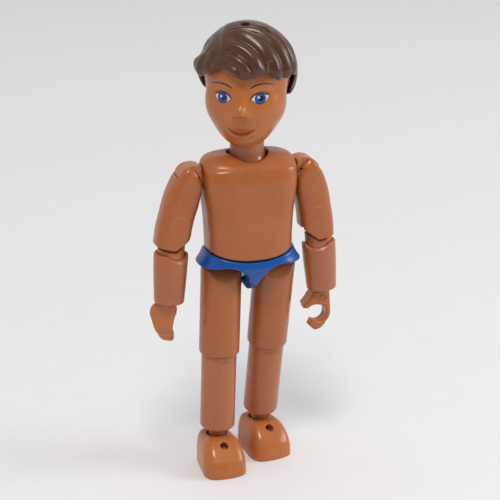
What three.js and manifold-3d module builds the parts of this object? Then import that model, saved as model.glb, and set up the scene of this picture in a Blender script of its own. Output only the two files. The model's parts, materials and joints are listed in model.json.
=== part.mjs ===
// A jointed plastic doll with a clip-on hair cap, hinged arms and legs and clip hands.
// Millimetres, +Z up. The doll faces -Y and its left side is +X.
import * as THREE from "three";
import { mergeVertices } from "three/addons/utils/BufferGeometryUtils.js";
import Module from "manifold-3d";

const wasm = await Module();
wasm.setup();

// Clearances between the moulded pieces.
const TURN_GAP = 0.3;
const SEAT_GAP = 0.25;
const SEAM_GAP = 0.1;

// Foot and ankle.
const FOOT_LENGTH = 15.2;
const FOOT_WIDTH = 11.2;
const HEEL_TO_ANKLE = 5;
const TOE_HEIGHT = 4.4;
const INSTEP_HEIGHT = 8.5;
const FOOT_TAPER = 2.8;
const HEEL_WIDTH = 8.8;
const FOOT_HOLE_RADIUS = 0.95;
const FOOT_HOLE_DEPTH = 2.4;
const ANKLE_BALL_HEIGHT = 4.7;
const ANKLE_BALL_RADIUS = 2.6;
const ANKLE_BALL_ROOM = 0.55;
const ANKLE_NECK_RADIUS = 1.35;
const ANKLE_COLLAR_RADIUS = 2.3;
const ANKLE_NECK_LENGTH = 5.45;
const ANKLE_PLUG_LENGTH = 5;

// Legs.
const SHIN_LENGTH = 26.9;
const SHIN_RADIUS = 4.06;
const SHIN_END_ROUND = 0.8;
const THIGH_LENGTH = 15;
const THIGH_RADIUS = 4.66;
const KNEE_HEM = 2.1;
const KNEE_PIN_RADIUS = 0.9;
const KNUCKLE_RADIUS = 3;
const KNUCKLE_WIDTH = 4.2;
const KNEE_STEM_RADIUS = 1.7;
const KNEE_STEM_LENGTH = 8;
const HIP_SPACING = 12.3;
const HIP_BACK = 0.5;
const HIP_AXLE_RADIUS = 0.7;
const HIP_AXLE_REACH = 2.4;

// Pelvis and briefs.
const BRIEFS_WALL = 0.9;
const HIP_FLARE = 1.4;
const BRIEFS_FRONT = 7.9;
const BRIEFS_REAR = 7.4;
const STRAP_WIDTH = 3;
const STRAP_DROP = 1.5;
const STRAP_WALL = 0.55;
const STRAP_TAPER = 0.5;
const SEAT_DROP = 3;
const HIP_TO_HEM = 6.8;
const HEM_ARC_RADIUS = 27;

// Torso.
const TORSO_HEIGHT = 23.4;
const TORSO_WALL = 1.4;
const WAIST_INSET = 0.75;
const SHOULDER_WIDTH = 21.2;
const TORSO_FRONT = 7.2;
const TORSO_REAR = 6.3;
const PELVIS_PLUG_HEIGHT = 5;

// Neck, head and hair.
const COLLAR_RADIUS = 4.75;
const NECK_RADIUS = 3.8;
const NECK_SHOW = 2.4;
const NECK_FLANGE = 0.75;
const NECK_PLUG_LENGTH = 5;
const HEAD_HEIGHT = 24.6;
const FACE_WIDTH = 17.7;
const SKULL_WIDTH = 18.8;
const SKULL_DEPTH = 19.4;
const JAW_WIDTH = 11.2;
const CHIN_DROP = 0.8;
const NOSE_LENGTH = 1.9;
const HAIR_WIDTH = 22.3;
const HAIR_DEPTH = 23;
const HAIR_OVER_SKULL = 1.2;
const HAIR_GAP = 0.6;
const HAIR_EDGE = 0.9;
const CROWN_HOLE_RADIUS = 1;
const CROWN_HOLE_FORWARD = 2;

// Arms.
const SHOULDER_DROP = 5.5;
const SHOULDER_PIN_OUT = 2;
const SHOULDER_PIN_RADIUS = 1.3;
const SHOULDER_DISC_RADIUS = 3.5;
const ARM_CAP = 3.8;
const SHOULDER_PEG_RADIUS = 1.8;
const SHOULDER_PEG_LENGTH = 4.2;
const SHOULDER_FLANGE = 1;
const TONGUE_WIDTH = 4.1;
const ARM_DEPTH = 7.8;
const ARM_WIDTH = 7.8;
const ELBOW_OUT = 2.6;
const ELBOW_DROP = 9.6;
const ELBOW_PIN_RADIUS = 1.3;
const ELBOW_EYE_RADIUS = 3;
const ELBOW_EAR_DROP = 6;
const ELBOW_BAR_INWARD = 2.6;
const ELBOW_BAR_OUTWARD = 1.5;
const ELBOW_STOP_ROOM = 1;
const FOREARM_OFFSET = 1;
const SLEEVE_RADIUS = 3.85;
const SLEEVE_END_RADIUS = 3.45;
const SLEEVE_LENGTH = 11.6;
const SLEEVE_WALL = 0.6;
const ELBOW_BARREL_SINK = 4;
const WRIST_RADIUS = 2.15;
const WRIST_PEG_RADIUS = 1.6;
const WRIST_PEG_LENGTH = 4;
const HAND_DEPTH = 6;
const FINGER_DEPTH = 2.6;
const FINGER_FORWARD = 0.8;
const GRIP_INWARD = 1.6;
const GRIP_BACK = 1.2;
const WRIST_INWARD = 0.6;
const GRIP_RADIUS = 2.1;
const GRIP_DROP = 5.9;
const FINGER_THICKNESS = 1.7;
const BACK_THICKNESS = 1;

// Stance, in degrees: how the pieces stand when the doll was set down.
const HEAD_TURN = -24;
const LIFT_ROOM = 37;
const SLEEVE_SPLAY = 4.4;
const STANCE = {
  left: { lift: 0, elbow: 0, hand: 0, swing: 12, lean: -1.5, toe: 11 },
  right: { lift: 6, elbow: 6.8, hand: -60, swing: 3.5, lean: -1.1, toe: 3 },
};

// Main levels above the soles, and widths that follow the shoulders.
const degrees = THREE.MathUtils.degToRad;
const LEG_LENGTH = THIGH_LENGTH + SHIN_LENGTH;
const MEAN_SWING = degrees((STANCE.left.swing + STANCE.right.swing) / 2);
const HIP_HEIGHT = ANKLE_BALL_HEIGHT + LEG_LENGTH * Math.cos(MEAN_SWING);
const HEM_HEIGHT = HIP_HEIGHT + HIP_TO_HEM;
const COLLAR_HEIGHT = HEM_HEIGHT + TORSO_HEIGHT;
const SHOULDER_HEIGHT = COLLAR_HEIGHT - SHOULDER_DROP;
const SHOULDER_OUT = SHOULDER_WIDTH / 2 + SHOULDER_PIN_OUT;
const WAIST_WIDTH = SHOULDER_WIDTH - 2 * WAIST_INSET;
const BRIEFS_WIDTH = SHOULDER_WIDTH + 2 * HIP_FLARE;
const DOME_TOP = HIP_HEIGHT + THIGH_RADIUS + TURN_GAP;
const NECK_FLANGE_RADIUS = NECK_RADIUS + NECK_FLANGE;

// Plastics.
const skin = (tone) => ({ color: tone, roughness: 0.35, metalness: 0 });
const SKIN = skin(0xd99a66);
const SKIN_PINK = skin(0xd8946b);
const SKIN_ORANGE = skin(0xdd9558);
const BLUE = { color: 0x1f4fc4, roughness: 0.25, metalness: 0 };
const BROWN = { color: 0x5a2c1d, roughness: 0.3, metalness: 0 };

// Solids from three.js geometry, joined and cut as manifold bodies.
function solid(geometry) {
  const bare = geometry.clone();
  bare.deleteAttribute("normal");
  bare.deleteAttribute("uv");
  const merged = mergeVertices(bare, 1e-4);
  const triVerts = new Uint32Array(merged.index.array);
  const vertProperties = new Float32Array(merged.attributes.position.array);
  return new wasm.Manifold(new wasm.Mesh({ numProp: 3, vertProperties, triVerts }));
}

function geometryOf(body) {
  const made = body.getMesh();
  const geometry = new THREE.BufferGeometry();
  const positions = new THREE.BufferAttribute(made.vertProperties, made.numProp);
  geometry.setAttribute("position", positions);
  geometry.setIndex(new THREE.BufferAttribute(made.triVerts, 1));
  const faceted = geometry.toNonIndexed();
  faceted.computeVertexNormals();
  return faceted;
}

function rod(radius, from, to, sides = 16) {
  const start = new THREE.Vector3(...from);
  const axis = new THREE.Vector3(...to).sub(start);
  const geometry = new THREE.CylinderGeometry(radius, radius, axis.length(), sides);
  geometry.translate(0, axis.length() / 2, 0);
  const up = new THREE.Vector3(0, 1, 0);
  geometry.applyQuaternion(new THREE.Quaternion().setFromUnitVectors(up, axis.normalize()));
  geometry.translate(...from);
  return solid(geometry);
}

function block(low, high) {
  const size = high.map((value, i) => value - low[i]);
  const geometry = new THREE.BoxGeometry(...size);
  geometry.translate(...low.map((value, i) => value + size[i] / 2));
  return solid(geometry);
}

function ball(radius, centre, sides = 24) {
  const geometry = new THREE.SphereGeometry(radius, sides, sides / 2);
  geometry.rotateX(Math.PI / 2);
  geometry.translate(...centre);
  return solid(geometry);
}

// A turned body about Z, from a profile of [radius, height] points that runs from the axis up to the axis.
function turned(profile, sides = 24) {
  const points = profile.map(([radius, height]) => new THREE.Vector2(radius, height));
  const geometry = new THREE.LatheGeometry(points, sides);
  geometry.rotateX(Math.PI / 2);
  return solid(geometry);
}

// A shape drawn in the X-Z plane, given a depth that is centred on Y.
function acrossY(shape, depth, steps = 8) {
  const geometry = new THREE.ExtrudeGeometry(shape, { depth, bevelEnabled: false, curveSegments: steps });
  geometry.rotateX(Math.PI / 2);
  geometry.translate(0, depth / 2, 0);
  return solid(geometry);
}

// A shape drawn in the Y-Z plane, given a depth that is centred on X.
function acrossX(shape, depth, steps = 8) {
  const geometry = new THREE.ExtrudeGeometry(shape, { depth, bevelEnabled: false, curveSegments: steps });
  geometry.rotateX(Math.PI / 2);
  geometry.rotateZ(Math.PI / 2);
  geometry.translate(-depth / 2, 0, 0);
  return solid(geometry);
}

// A skin through rings of equal count, from the lowest ring to the highest, closed by a fan at each end.
function loft(rings) {
  const count = rings[0].length;
  const middles = [rings[0], rings.at(-1)].map((ring) =>
    ring.reduce((sum, point) => sum.add(point), new THREE.Vector3()).divideScalar(count),
  );
  const points = [...rings.flat(), ...middles];
  const low = rings.length * count;
  const indices = [];
  for (let i = 0; i < count; i++) {
    const next = (i + 1) % count;
    for (let row = 0; row + 1 < rings.length; row++) {
      const here = row * count;
      const above = here + count;
      indices.push(here + i, here + next, above + next);
      indices.push(here + i, above + next, above + i);
    }
    const top = (rings.length - 1) * count;
    indices.push(low, next, i);
    indices.push(low + 1, top + i, top + next);
  }
  const geometry = new THREE.BufferGeometry().setFromPoints(points);
  geometry.setIndex(indices);
  return solid(geometry);
}

// A rounded-box ring at a height, with its own half width and its reach to the front and to the rear.
function oval({ z, half, front, rear, x = 0, y = 0, square = 2.6 }, count = 36) {
  const power = 2 / square;
  return Array.from({ length: count }, (_, i) => {
    const angle = (i / count) * 2 * Math.PI;
    const across = Math.sign(Math.cos(angle)) * Math.abs(Math.cos(angle)) ** power;
    const along = Math.sign(Math.sin(angle)) * Math.abs(Math.sin(angle)) ** power;
    const reach = along < 0 ? front : rear;
    return new THREE.Vector3(x + across * half, y + along * reach, z);
  });
}

const lofted = (levels, count) => loft(levels.map((level) => oval(level, count)));

// The same levels drawn in by a wall.
const drawnIn = (levels, wall) =>
  levels.map((level) => ({
    ...level,
    half: level.half - wall,
    front: level.front - wall,
    rear: level.rear - wall,
  }));

const FAR = 60;

// Everything below the arched hem line of the torso, lowered by a drop.
function belowHem(drop) {
  const centre = HEM_HEIGHT - drop + HEM_ARC_RADIUS;
  const halfAngle = degrees(50);
  const edge = HEM_ARC_RADIUS * Math.sin(halfAngle);
  const shape = new THREE.Shape();
  shape.moveTo(-edge, HEM_HEIGHT - FAR);
  shape.lineTo(edge, HEM_HEIGHT - FAR);
  shape.absarc(0, centre, HEM_ARC_RADIUS, -Math.PI / 2 + halfAngle, -Math.PI / 2 - halfAngle, true);
  return acrossY(shape, FAR, 16);
}

// Torso: two shells that clamp the neck flange, the shoulder flanges and the pelvis plug.
const TORSO_LEVELS = [
  { rise: -0.06, half: WAIST_WIDTH / 2, front: TORSO_FRONT, rear: TORSO_REAR },
  { rise: 0.16, half: WAIST_WIDTH / 2 - 0.1, front: TORSO_FRONT + 0.1, rear: TORSO_REAR },
  { rise: 0.4, half: WAIST_WIDTH / 2, front: TORSO_FRONT - 0.1, rear: TORSO_REAR },
  { rise: 0.6, half: WAIST_WIDTH / 2 + 0.3, front: TORSO_FRONT, rear: TORSO_REAR, square: 3.4 },
  { rise: 0.76, half: SHOULDER_WIDTH / 2 - 0.2, front: TORSO_FRONT - 0.2, rear: TORSO_REAR, square: 4 },
  { rise: 0.86, half: SHOULDER_WIDTH / 2, front: TORSO_FRONT - 0.8, rear: TORSO_REAR - 0.3, square: 4 },
  { rise: 0.905, half: SHOULDER_WIDTH / 2 - 0.1, front: TORSO_FRONT - 1.5, rear: TORSO_REAR - 0.7 },
  { rise: 0.955, half: SHOULDER_WIDTH / 2 - 0.8, front: TORSO_FRONT - 2.9, rear: TORSO_REAR - 1.2 },
  { rise: 0.985, half: SHOULDER_WIDTH / 2 - 2.4, front: TORSO_FRONT - 4, rear: TORSO_REAR - 1.9 },
  { rise: 1, half: SHOULDER_WIDTH / 2 - 4.8, front: TORSO_FRONT - 4.7, rear: TORSO_REAR - 2.7 },
].map(({ rise, ...level }) => ({ square: 3, ...level, z: HEM_HEIGHT + rise * TORSO_HEIGHT }));
const CAVITY_TOP = HEM_HEIGHT + 0.5 * TORSO_HEIGHT;
const NECK_FLANGE_TOP = SHOULDER_HEIGHT - 0.4;
const NECK_FLANGE_HEIGHT = 1.4;
const SHOULDER_FLANGE_RADIUS = SHOULDER_PEG_RADIUS + SHOULDER_FLANGE;
const SHOULDER_FLANGE_THICKNESS = 1;
const PEG_END = SHOULDER_WIDTH / 2 - SHOULDER_PEG_LENGTH;

function torsoBody() {
  const cavityLevels = drawnIn(TORSO_LEVELS.slice(0, 4), TORSO_WALL);
  cavityLevels[0].z -= 1;
  cavityLevels[3].z = CAVITY_TOP;
  let body = lofted(TORSO_LEVELS, 32).subtract(belowHem(0)).subtract(lofted(cavityLevels, 16));
  const bore = NECK_RADIUS + TURN_GAP;
  const pocket = NECK_FLANGE_RADIUS + TURN_GAP;
  const pocketLow = NECK_FLANGE_TOP - NECK_FLANGE_HEIGHT - TURN_GAP;
  body = body.subtract(rod(bore, [0, 0, CAVITY_TOP - 1], [0, 0, COLLAR_HEIGHT + 1], 24));
  body = body.subtract(rod(pocket, [0, 0, pocketLow], [0, 0, NECK_FLANGE_TOP + TURN_GAP], 24));
  body = body.subtract(rod(COLLAR_RADIUS, [0, 0, COLLAR_HEIGHT - 3.2], [0, 0, COLLAR_HEIGHT + 1], 24));
  for (const side of [-1, 1]) {
    const at = (out) => [side * out, 0, SHOULDER_HEIGHT];
    const inner = PEG_END - TURN_GAP;
    const pocketOut = PEG_END + SHOULDER_FLANGE_THICKNESS + TURN_GAP;
    body = body.subtract(rod(SHOULDER_PEG_RADIUS + TURN_GAP, at(inner), at(SHOULDER_WIDTH), 16));
    body = body.subtract(rod(SHOULDER_FLANGE_RADIUS + TURN_GAP, at(inner), at(pocketOut), 16));
  }
  return body;
}

const torsoFront = (body) => body.intersect(block([-FAR, -FAR, 0], [FAR, -SEAM_GAP / 2, 2 * FAR]));
const torsoRear = (body) => body.intersect(block([-FAR, SEAM_GAP / 2, 0], [FAR, FAR, 2 * FAR]));

// Briefs: a flared shell with a strap between the legs, and the pelvis core that fills it.
const STRAP_BOTTOM = HIP_HEIGHT - STRAP_DROP;
const FLARE_HEIGHT = HIP_HEIGHT + THIGH_RADIUS;
const BRIEFS_LEVELS = [
  { z: STRAP_BOTTOM, half: 1.1 + BRIEFS_WALL, front: 1, rear: 1 },
  { z: STRAP_BOTTOM + 0.7, half: BRIEFS_WIDTH / 2 - 6, front: BRIEFS_FRONT * 0.46, rear: BRIEFS_REAR * 0.46 },
  { z: STRAP_BOTTOM + 1.9, half: BRIEFS_WIDTH / 2 - 3, front: BRIEFS_FRONT * 0.7, rear: BRIEFS_REAR * 0.7 },
  { z: STRAP_BOTTOM + 3.6, half: BRIEFS_WIDTH / 2 - 1, front: BRIEFS_FRONT * 0.88, rear: BRIEFS_REAR * 0.88 },
  { z: FLARE_HEIGHT, half: BRIEFS_WIDTH / 2, front: BRIEFS_FRONT, rear: BRIEFS_REAR },
  { z: HEM_HEIGHT, half: BRIEFS_WIDTH / 2 - 1.1, front: BRIEFS_FRONT - 0.4, rear: BRIEFS_REAR - 0.5 },
  { z: HEM_HEIGHT + 3, half: WAIST_WIDTH / 2 - 0.3, front: TORSO_FRONT - 0.2, rear: TORSO_REAR - 0.2 },
];

// The opening for a leg, as seen from the front: a ring round the thigh, open below and to the side.
// Behind the thigh it stops lower, so that the briefs have a seat.
function legOpening(side) {
  const radius = THIGH_RADIUS + TURN_GAP + 0.2;
  const centre = HIP_SPACING / 2;
  const strapEdge = STRAP_WIDTH / 2;
  const turn = Math.acos(Math.min(1, (centre - strapEdge) / radius));
  const outline = new THREE.Shape();
  outline.moveTo(strapEdge - STRAP_TAPER, HIP_HEIGHT - STRAP_DROP);
  outline.lineTo(strapEdge - STRAP_TAPER, HIP_HEIGHT - FAR);
  outline.lineTo(FAR, HIP_HEIGHT - FAR);
  outline.lineTo(FAR, HIP_HEIGHT + radius);
  outline.lineTo(centre, HIP_HEIGHT + radius);
  outline.absarc(centre, HIP_HEIGHT, radius, Math.PI / 2, Math.PI - turn, false);
  const through = acrossY(outline, 2 * FAR, 8);
  const seat = HIP_BACK + radius;
  const front = through.intersect(block([-FAR, -FAR, 0], [FAR, seat, 2 * FAR]));
  const rear = through.translate([0, 0, -SEAT_DROP]);
  const opening = front.add(rear);
  return side > 0 ? opening : opening.mirror([1, 0, 0]);
}

function briefs() {
  const hollow = drawnIn(BRIEFS_LEVELS, BRIEFS_WALL);
  hollow[0].z += STRAP_WALL;
  hollow[1].z += STRAP_WALL;
  hollow[2].z += STRAP_WALL * 0.6;
  hollow.at(-1).z += 2;
  let body = lofted(BRIEFS_LEVELS, 28).subtract(lofted(hollow, 28));
  body = body.intersect(belowHem(SEAT_GAP + 0.1));
  for (const side of [-1, 1]) {
    body = body.subtract(legOpening(side));
  }
  return body;
}

function pelvisCore() {
  const filling = drawnIn(BRIEFS_LEVELS, BRIEFS_WALL + SEAT_GAP);
  filling[0].z += BRIEFS_WALL + SEAT_GAP + 0.3;
  filling[1].z += BRIEFS_WALL + 0.4;
  filling[2].z += BRIEFS_WALL;
  filling[3].z += BRIEFS_WALL / 2;
  let body = lofted(filling, 20).intersect(belowHem(SEAT_GAP + 0.1));
  const plug = drawnIn(TORSO_LEVELS.slice(0, 2), TORSO_WALL + SEAT_GAP);
  plug[0].z = HEM_HEIGHT - 1.5;
  plug[1].z = HEM_HEIGHT + PELVIS_PLUG_HEIGHT;
  body = body.add(lofted(plug, 16));
  const web = STRAP_WIDTH / 2 - STRAP_TAPER;
  const over = DOME_TOP + 0.2;
  for (const side of [-1, 1]) {
    const inner = Math.min(side * web, side * FAR);
    body = body.subtract(block([inner, -FAR, 0], [inner + FAR - web, FAR, over]));
  }
  const half = HIP_SPACING / 2;
  const axleHole = HIP_AXLE_RADIUS + SEAT_GAP;
  return body.subtract(rod(axleHole, [-half, HIP_BACK, HIP_HEIGHT], [half, HIP_BACK, HIP_HEIGHT]));
}

function hipAxle() {
  const reach = HIP_SPACING / 2 + HIP_AXLE_REACH;
  return rod(HIP_AXLE_RADIUS, [-reach, HIP_BACK, HIP_HEIGHT], [reach, HIP_BACK, HIP_HEIGHT]);
}

// Head: three swelling forms run into each other, with the nose, lips and brow drawn out of the face.
// Heights in the head's own frame start at the collar.
const CHIN = NECK_SHOW;
const HEAD_CENTRE = new THREE.Vector3(0, 0, CHIN + 0.49 * HEAD_HEIGHT);
const SKULL = {
  centre: [0, 1, CHIN + 0.62 * HEAD_HEIGHT],
  radii: [SKULL_WIDTH / 2, SKULL_DEPTH / 2, 0.38 * HEAD_HEIGHT],
};
const CHEEKS = {
  centre: [0, -1.4, CHIN + 0.38 * HEAD_HEIGHT],
  radii: [FACE_WIDTH / 2, 8, 0.34 * HEAD_HEIGHT],
};
const JAW = {
  centre: [0, -2.4, CHIN + 0.225 * HEAD_HEIGHT - CHIN_DROP / 2],
  radii: [JAW_WIDTH / 2, 6, 0.225 * HEAD_HEIGHT + CHIN_DROP / 2],
};
const FEATURES = [
  { at: [0, CHIN + 0.34 * HEAD_HEIGHT], spread: [0.95, 1.15], out: NOSE_LENGTH },
  { at: [0, CHIN + 0.42 * HEAD_HEIGHT], spread: [0.8, 1.9], out: NOSE_LENGTH * 0.45 },
  { at: [0, CHIN + 0.165 * HEAD_HEIGHT], spread: [2, 0.8], out: 0.7 },
  { at: [0, CHIN + 0.06 * HEAD_HEIGHT], spread: [2.2, 1.1], out: 0.5 },
];

// How far a ray from an inner point runs before it leaves an ellipsoid.
function exitOf(form, origin, ray) {
  const place = [0, 1, 2].map((i) => (origin.getComponent(i) - form.centre[i]) / form.radii[i]);
  const pace = [0, 1, 2].map((i) => ray.getComponent(i) / form.radii[i]);
  const dot = (a, b) => a[0] * b[0] + a[1] * b[1] + a[2] * b[2];
  const half = dot(place, pace);
  const inside = half * half - dot(pace, pace) * (dot(place, place) - 1);
  return inside < 0 ? 0 : (Math.sqrt(inside) - half) / dot(pace, pace);
}

function blended(a, b, reach) {
  const share = Math.max(reach - Math.abs(a - b), 0) / reach;
  return Math.max(a, b) + (share * share * reach) / 4;
}

function headReach(ray) {
  const [skull, cheeks, jaw] = [SKULL, CHEEKS, JAW].map((form) => exitOf(form, HEAD_CENTRE, ray));
  let reach = blended(blended(skull, cheeks, 1.2), jaw, 3);
  const facing = Math.min(1, Math.max(0, -2 * ray.y));
  const point = HEAD_CENTRE.clone().addScaledVector(ray, reach);
  for (const { at, spread, out } of FEATURES) {
    const x = (point.x - at[0]) / spread[0];
    const z = (point.z - at[1]) / spread[1];
    reach += facing * out * Math.exp(-x * x - z * z);
  }
  return reach;
}

// A ball whose every point is pushed out along its own ray.
function pushedBall(centre, reachOf, columns, rows) {
  const geometry = new THREE.SphereGeometry(1, columns, rows);
  geometry.rotateX(Math.PI / 2);
  const place = geometry.attributes.position;
  for (let i = 0; i < place.count; i++) {
    const ray = new THREE.Vector3().fromBufferAttribute(place, i).normalize();
    const point = centre.clone().addScaledVector(ray, reachOf(ray));
    place.setXYZ(i, point.x, point.y, point.z);
  }
  return solid(geometry);
}

function head() {
  const bore = rod(NECK_RADIUS - 0.8 + SEAT_GAP, [0, 0, 0], [0, 0, CHIN + NECK_PLUG_LENGTH + SEAT_GAP], 22);
  const crownLow = [0, -CROWN_HOLE_FORWARD, CHIN + HEAD_HEIGHT - 2];
  const crown = rod(CROWN_HOLE_RADIUS, crownLow, [0, -CROWN_HOLE_FORWARD, FAR], 16);
  const seat = rod(NECK_RADIUS + SEAT_GAP, [0, 0, 0], [0, 0, CHIN + 1.6], 22);
  return pushedBall(HEAD_CENTRE, headReach, 34, 24).subtract(bore).subtract(seat).subtract(crown);
}

// The lower edge of the hair round the head, as turns and heights.
// A turn is in degrees from the front toward the doll's left, and a height is over the chin.
const HAIRLINE = [
  [-180, 5.5],
  [-140, 6.6],
  [-108, 9],
  [-88, 14],
  [-62, 14.6],
  [-34, 17.9],
  [-4, 15.7],
  [30, 16.4],
  [52, 14.2],
  [70, 14.2],
  [88, 14],
  [108, 8.6],
  [142, 6.6],
];

function hairlineAt(angle) {
  const index = Math.max(0, HAIRLINE.findLastIndex(([turn]) => degrees(turn) <= angle));
  const next = (index + 1) % HAIRLINE.length;
  const start = degrees(HAIRLINE[index][0]);
  const end = next ? degrees(HAIRLINE[next][0]) : Math.PI;
  const share = THREE.MathUtils.smoothstep(angle, start, end);
  return CHIN + THREE.MathUtils.lerp(HAIRLINE[index][1], HAIRLINE[next][1], share);
}

const HAIR = {
  centre: [0, 0.9, CHIN + 0.615 * HEAD_HEIGHT],
  radii: [HAIR_WIDTH / 2, HAIR_DEPTH / 2, 0.385 * HEAD_HEIGHT + HAIR_OVER_SKULL],
};

// Hair cap: an outer skin from the crown to the hairline, folded back up under itself along the skull.
function hair() {
  const columns = 40;
  const outerRows = 9;
  const innerRows = 8;
  const inner = (ray) => headReach(ray) + HAIR_GAP;
  const outer = (ray) => Math.max(exitOf(HAIR, HEAD_CENTRE, ray), inner(ray) + HAIR_EDGE);
  const rayAt = (turn, tilt) =>
    new THREE.Vector3(Math.sin(turn) * Math.sin(tilt), -Math.cos(turn) * Math.sin(tilt), Math.cos(tilt));
  const rings = [];
  const edges = Array.from({ length: columns }, (_, i) => {
    const turn = (i / columns) * 2 * Math.PI - Math.PI;
    const edge = hairlineAt(turn);
    let tilt = 0.6;
    while (tilt < 2.6) {
      const ray = rayAt(turn, tilt);
      if (HEAD_CENTRE.z + ray.z * outer(ray) < edge) break;
      tilt += 0.01;
    }
    return { turn, tilt };
  });
  const ringAt = (share, reach) =>
    edges.map(({ turn, tilt }) => {
      const ray = rayAt(turn, tilt * share);
      return HEAD_CENTRE.clone().addScaledVector(ray, reach(ray));
    });
  for (let row = 1; row <= innerRows; row++) rings.push(ringAt(row / innerRows, inner));
  for (let row = outerRows; row >= 1; row--) rings.push(ringAt(row / outerRows, outer));
  const crown = HEAD_CENTRE.z + HAIR.radii[2] + 4;
  const at = -CROWN_HOLE_FORWARD;
  const hole = rod(CROWN_HOLE_RADIUS, [0, at, crown - FAR / 2], [0, at, crown + 4], 16);
  return loft(rings).subtract(hole);
}

// Neck post: the plug in the head, the neck that shows and the flange that the torso holds.
function neckPost() {
  const flangeTop = NECK_FLANGE_TOP - COLLAR_HEIGHT;
  const flangeLow = flangeTop - NECK_FLANGE_HEIGHT;
  const plug = NECK_RADIUS - 0.8;
  return turned([
    [0, flangeLow],
    [NECK_FLANGE_RADIUS, flangeLow],
    [NECK_FLANGE_RADIUS, flangeTop],
    [NECK_RADIUS, flangeTop],
    [NECK_RADIUS, CHIN + 1.3],
    [plug, CHIN + 1.3],
    [plug, CHIN + NECK_PLUG_LENGTH],
    [0, CHIN + NECK_PLUG_LENGTH],
  ]);
}

// Shoulder link: a disc in the arm's slot, with a peg and a flange that turn in the torso.
function shoulderLink() {
  const half = TONGUE_WIDTH / 2;
  const wall = SHOULDER_PIN_OUT - TURN_GAP;
  const inward = SHOULDER_OUT - PEG_END;
  let body = rod(SHOULDER_DISC_RADIUS, [0, -half, 0], [0, half, 0], 22);
  body = body.intersect(block([-wall, -FAR, -FAR], [FAR, FAR, FAR]));
  body = body.add(rod(SHOULDER_PEG_RADIUS, [-inward, 0, 0], [0, 0, 0], 16));
  const flange = -inward + SHOULDER_FLANGE_THICKNESS;
  body = body.add(rod(SHOULDER_FLANGE_RADIUS, [-inward, 0, 0], [flange, 0, 0], 16));
  const pinHole = SHOULDER_PIN_RADIUS + TURN_GAP / 2;
  return body.subtract(rod(pinHole, [0, -FAR, 0], [0, FAR, 0], 16));
}

const armPin = (radius) => rod(radius, [0, 0.1 - ARM_DEPTH / 2, 0], [0, ARM_DEPTH / 2 - 0.1, 0], 16);
const armPinHole = (radius, at) => rod(radius + SEAT_GAP / 2, [at[0], -FAR, at[1]], [at[0], FAR, at[1]], 16);

// Where the sleeve ends start and stop, measured from the elbow pin.
const SLEEVE_TOP = -(ELBOW_EAR_DROP + 1.2);
const SLEEVE_END = SLEEVE_TOP - SLEEVE_LENGTH;

// The side of the arm that faces the torso, cut so that the arm can be lifted by LIFT_ROOM.
function torsoSide() {
  const room = SHOULDER_PIN_OUT - TURN_GAP;
  const lift = degrees(LIFT_ROOM);
  const shape = new THREE.Shape();
  shape.moveTo(-room, -FAR / 2);
  shape.lineTo(-room, 0);
  shape.absarc(0, 0, room, Math.PI, Math.PI - lift, true);
  shape.lineTo(-room * Math.cos(lift) + FAR * Math.sin(lift), room * Math.sin(lift) + FAR * Math.cos(lift));
  shape.lineTo(-FAR, FAR);
  shape.lineTo(-FAR, -FAR / 2);
  return acrossY(shape, FAR, 10);
}

// Upper arm, drawn from the shoulder pin: a forked end round the shoulder disc and one round the elbow eye.
function upperArm() {
  const half = ARM_WIDTH / 2;
  const deep = ARM_DEPTH / 2;
  const end = ELBOW_DROP + ELBOW_EAR_DROP;
  const level = (z, x, width, depth) => ({ z, x, half: width, front: depth, rear: depth, square: 2.5 });
  let body = lofted(
    [
      level(-end - 0.4, ELBOW_OUT + 0.9, half, deep - 0.1),
      level(-end + 3.4, ELBOW_OUT + 0.7, half, deep),
      level(-ELBOW_DROP + 1.4, ELBOW_OUT + 0.3, half - 0.2, deep),
      level(-ELBOW_DROP * 0.4, ELBOW_OUT - 0.4, half - 0.3, deep),
      level(0, 1.4, half - 0.5, deep - 0.05),
      level(ARM_CAP * 0.55, 0.9, half - 1, deep - 0.5),
      level(ARM_CAP * 0.88, 0.4, half - 2, deep - 1.5),
      level(ARM_CAP, 0.2, half - 3, deep - 2.7),
    ],
    20,
  );
  const slot = TONGUE_WIDTH + 2 * TURN_GAP;
  const discRoom = SHOULDER_DISC_RADIUS + TURN_GAP;
  const discSlot = rod(discRoom, [0, -slot / 2, 0], [0, slot / 2, 0], 22);
  const pegSlot = block([-FAR, -slot / 2, -discRoom * 0.7], [0, slot / 2, FAR]);
  const topSlot = block([-FAR, -slot / 2, discRoom / 2], [discRoom / 2, slot / 2, FAR]);
  const eyeRoom = ELBOW_EYE_RADIUS + TURN_GAP;
  const barOut = ELBOW_OUT + FOREARM_OFFSET + ELBOW_BAR_OUTWARD + ELBOW_STOP_ROOM;
  const eyeSlot = block([-FAR, -slot / 2, -FAR], [barOut, slot / 2, -ELBOW_DROP + eyeRoom]);
  body = body.subtract(torsoSide()).subtract(discSlot).subtract(pegSlot).subtract(topSlot).subtract(eyeSlot);
  const ears = new THREE.Shape();
  ears.moveTo(ELBOW_OUT + 0.6, -end);
  ears.lineTo(ELBOW_OUT + 0.6 - FAR * Math.cos(degrees(36)), -end + FAR * Math.sin(degrees(36)));
  ears.lineTo(-FAR, -FAR);
  ears.lineTo(FAR, -FAR);
  ears.lineTo(ELBOW_OUT + 0.6 + FAR * Math.cos(degrees(8)), -end + FAR * Math.sin(degrees(8)));
  body = body.subtract(acrossY(ears, FAR));
  body = body.subtract(armPinHole(SHOULDER_PIN_RADIUS, [0, 0]));
  return body.subtract(armPinHole(ELBOW_PIN_RADIUS, [ELBOW_OUT, -ELBOW_DROP]));
}

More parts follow.
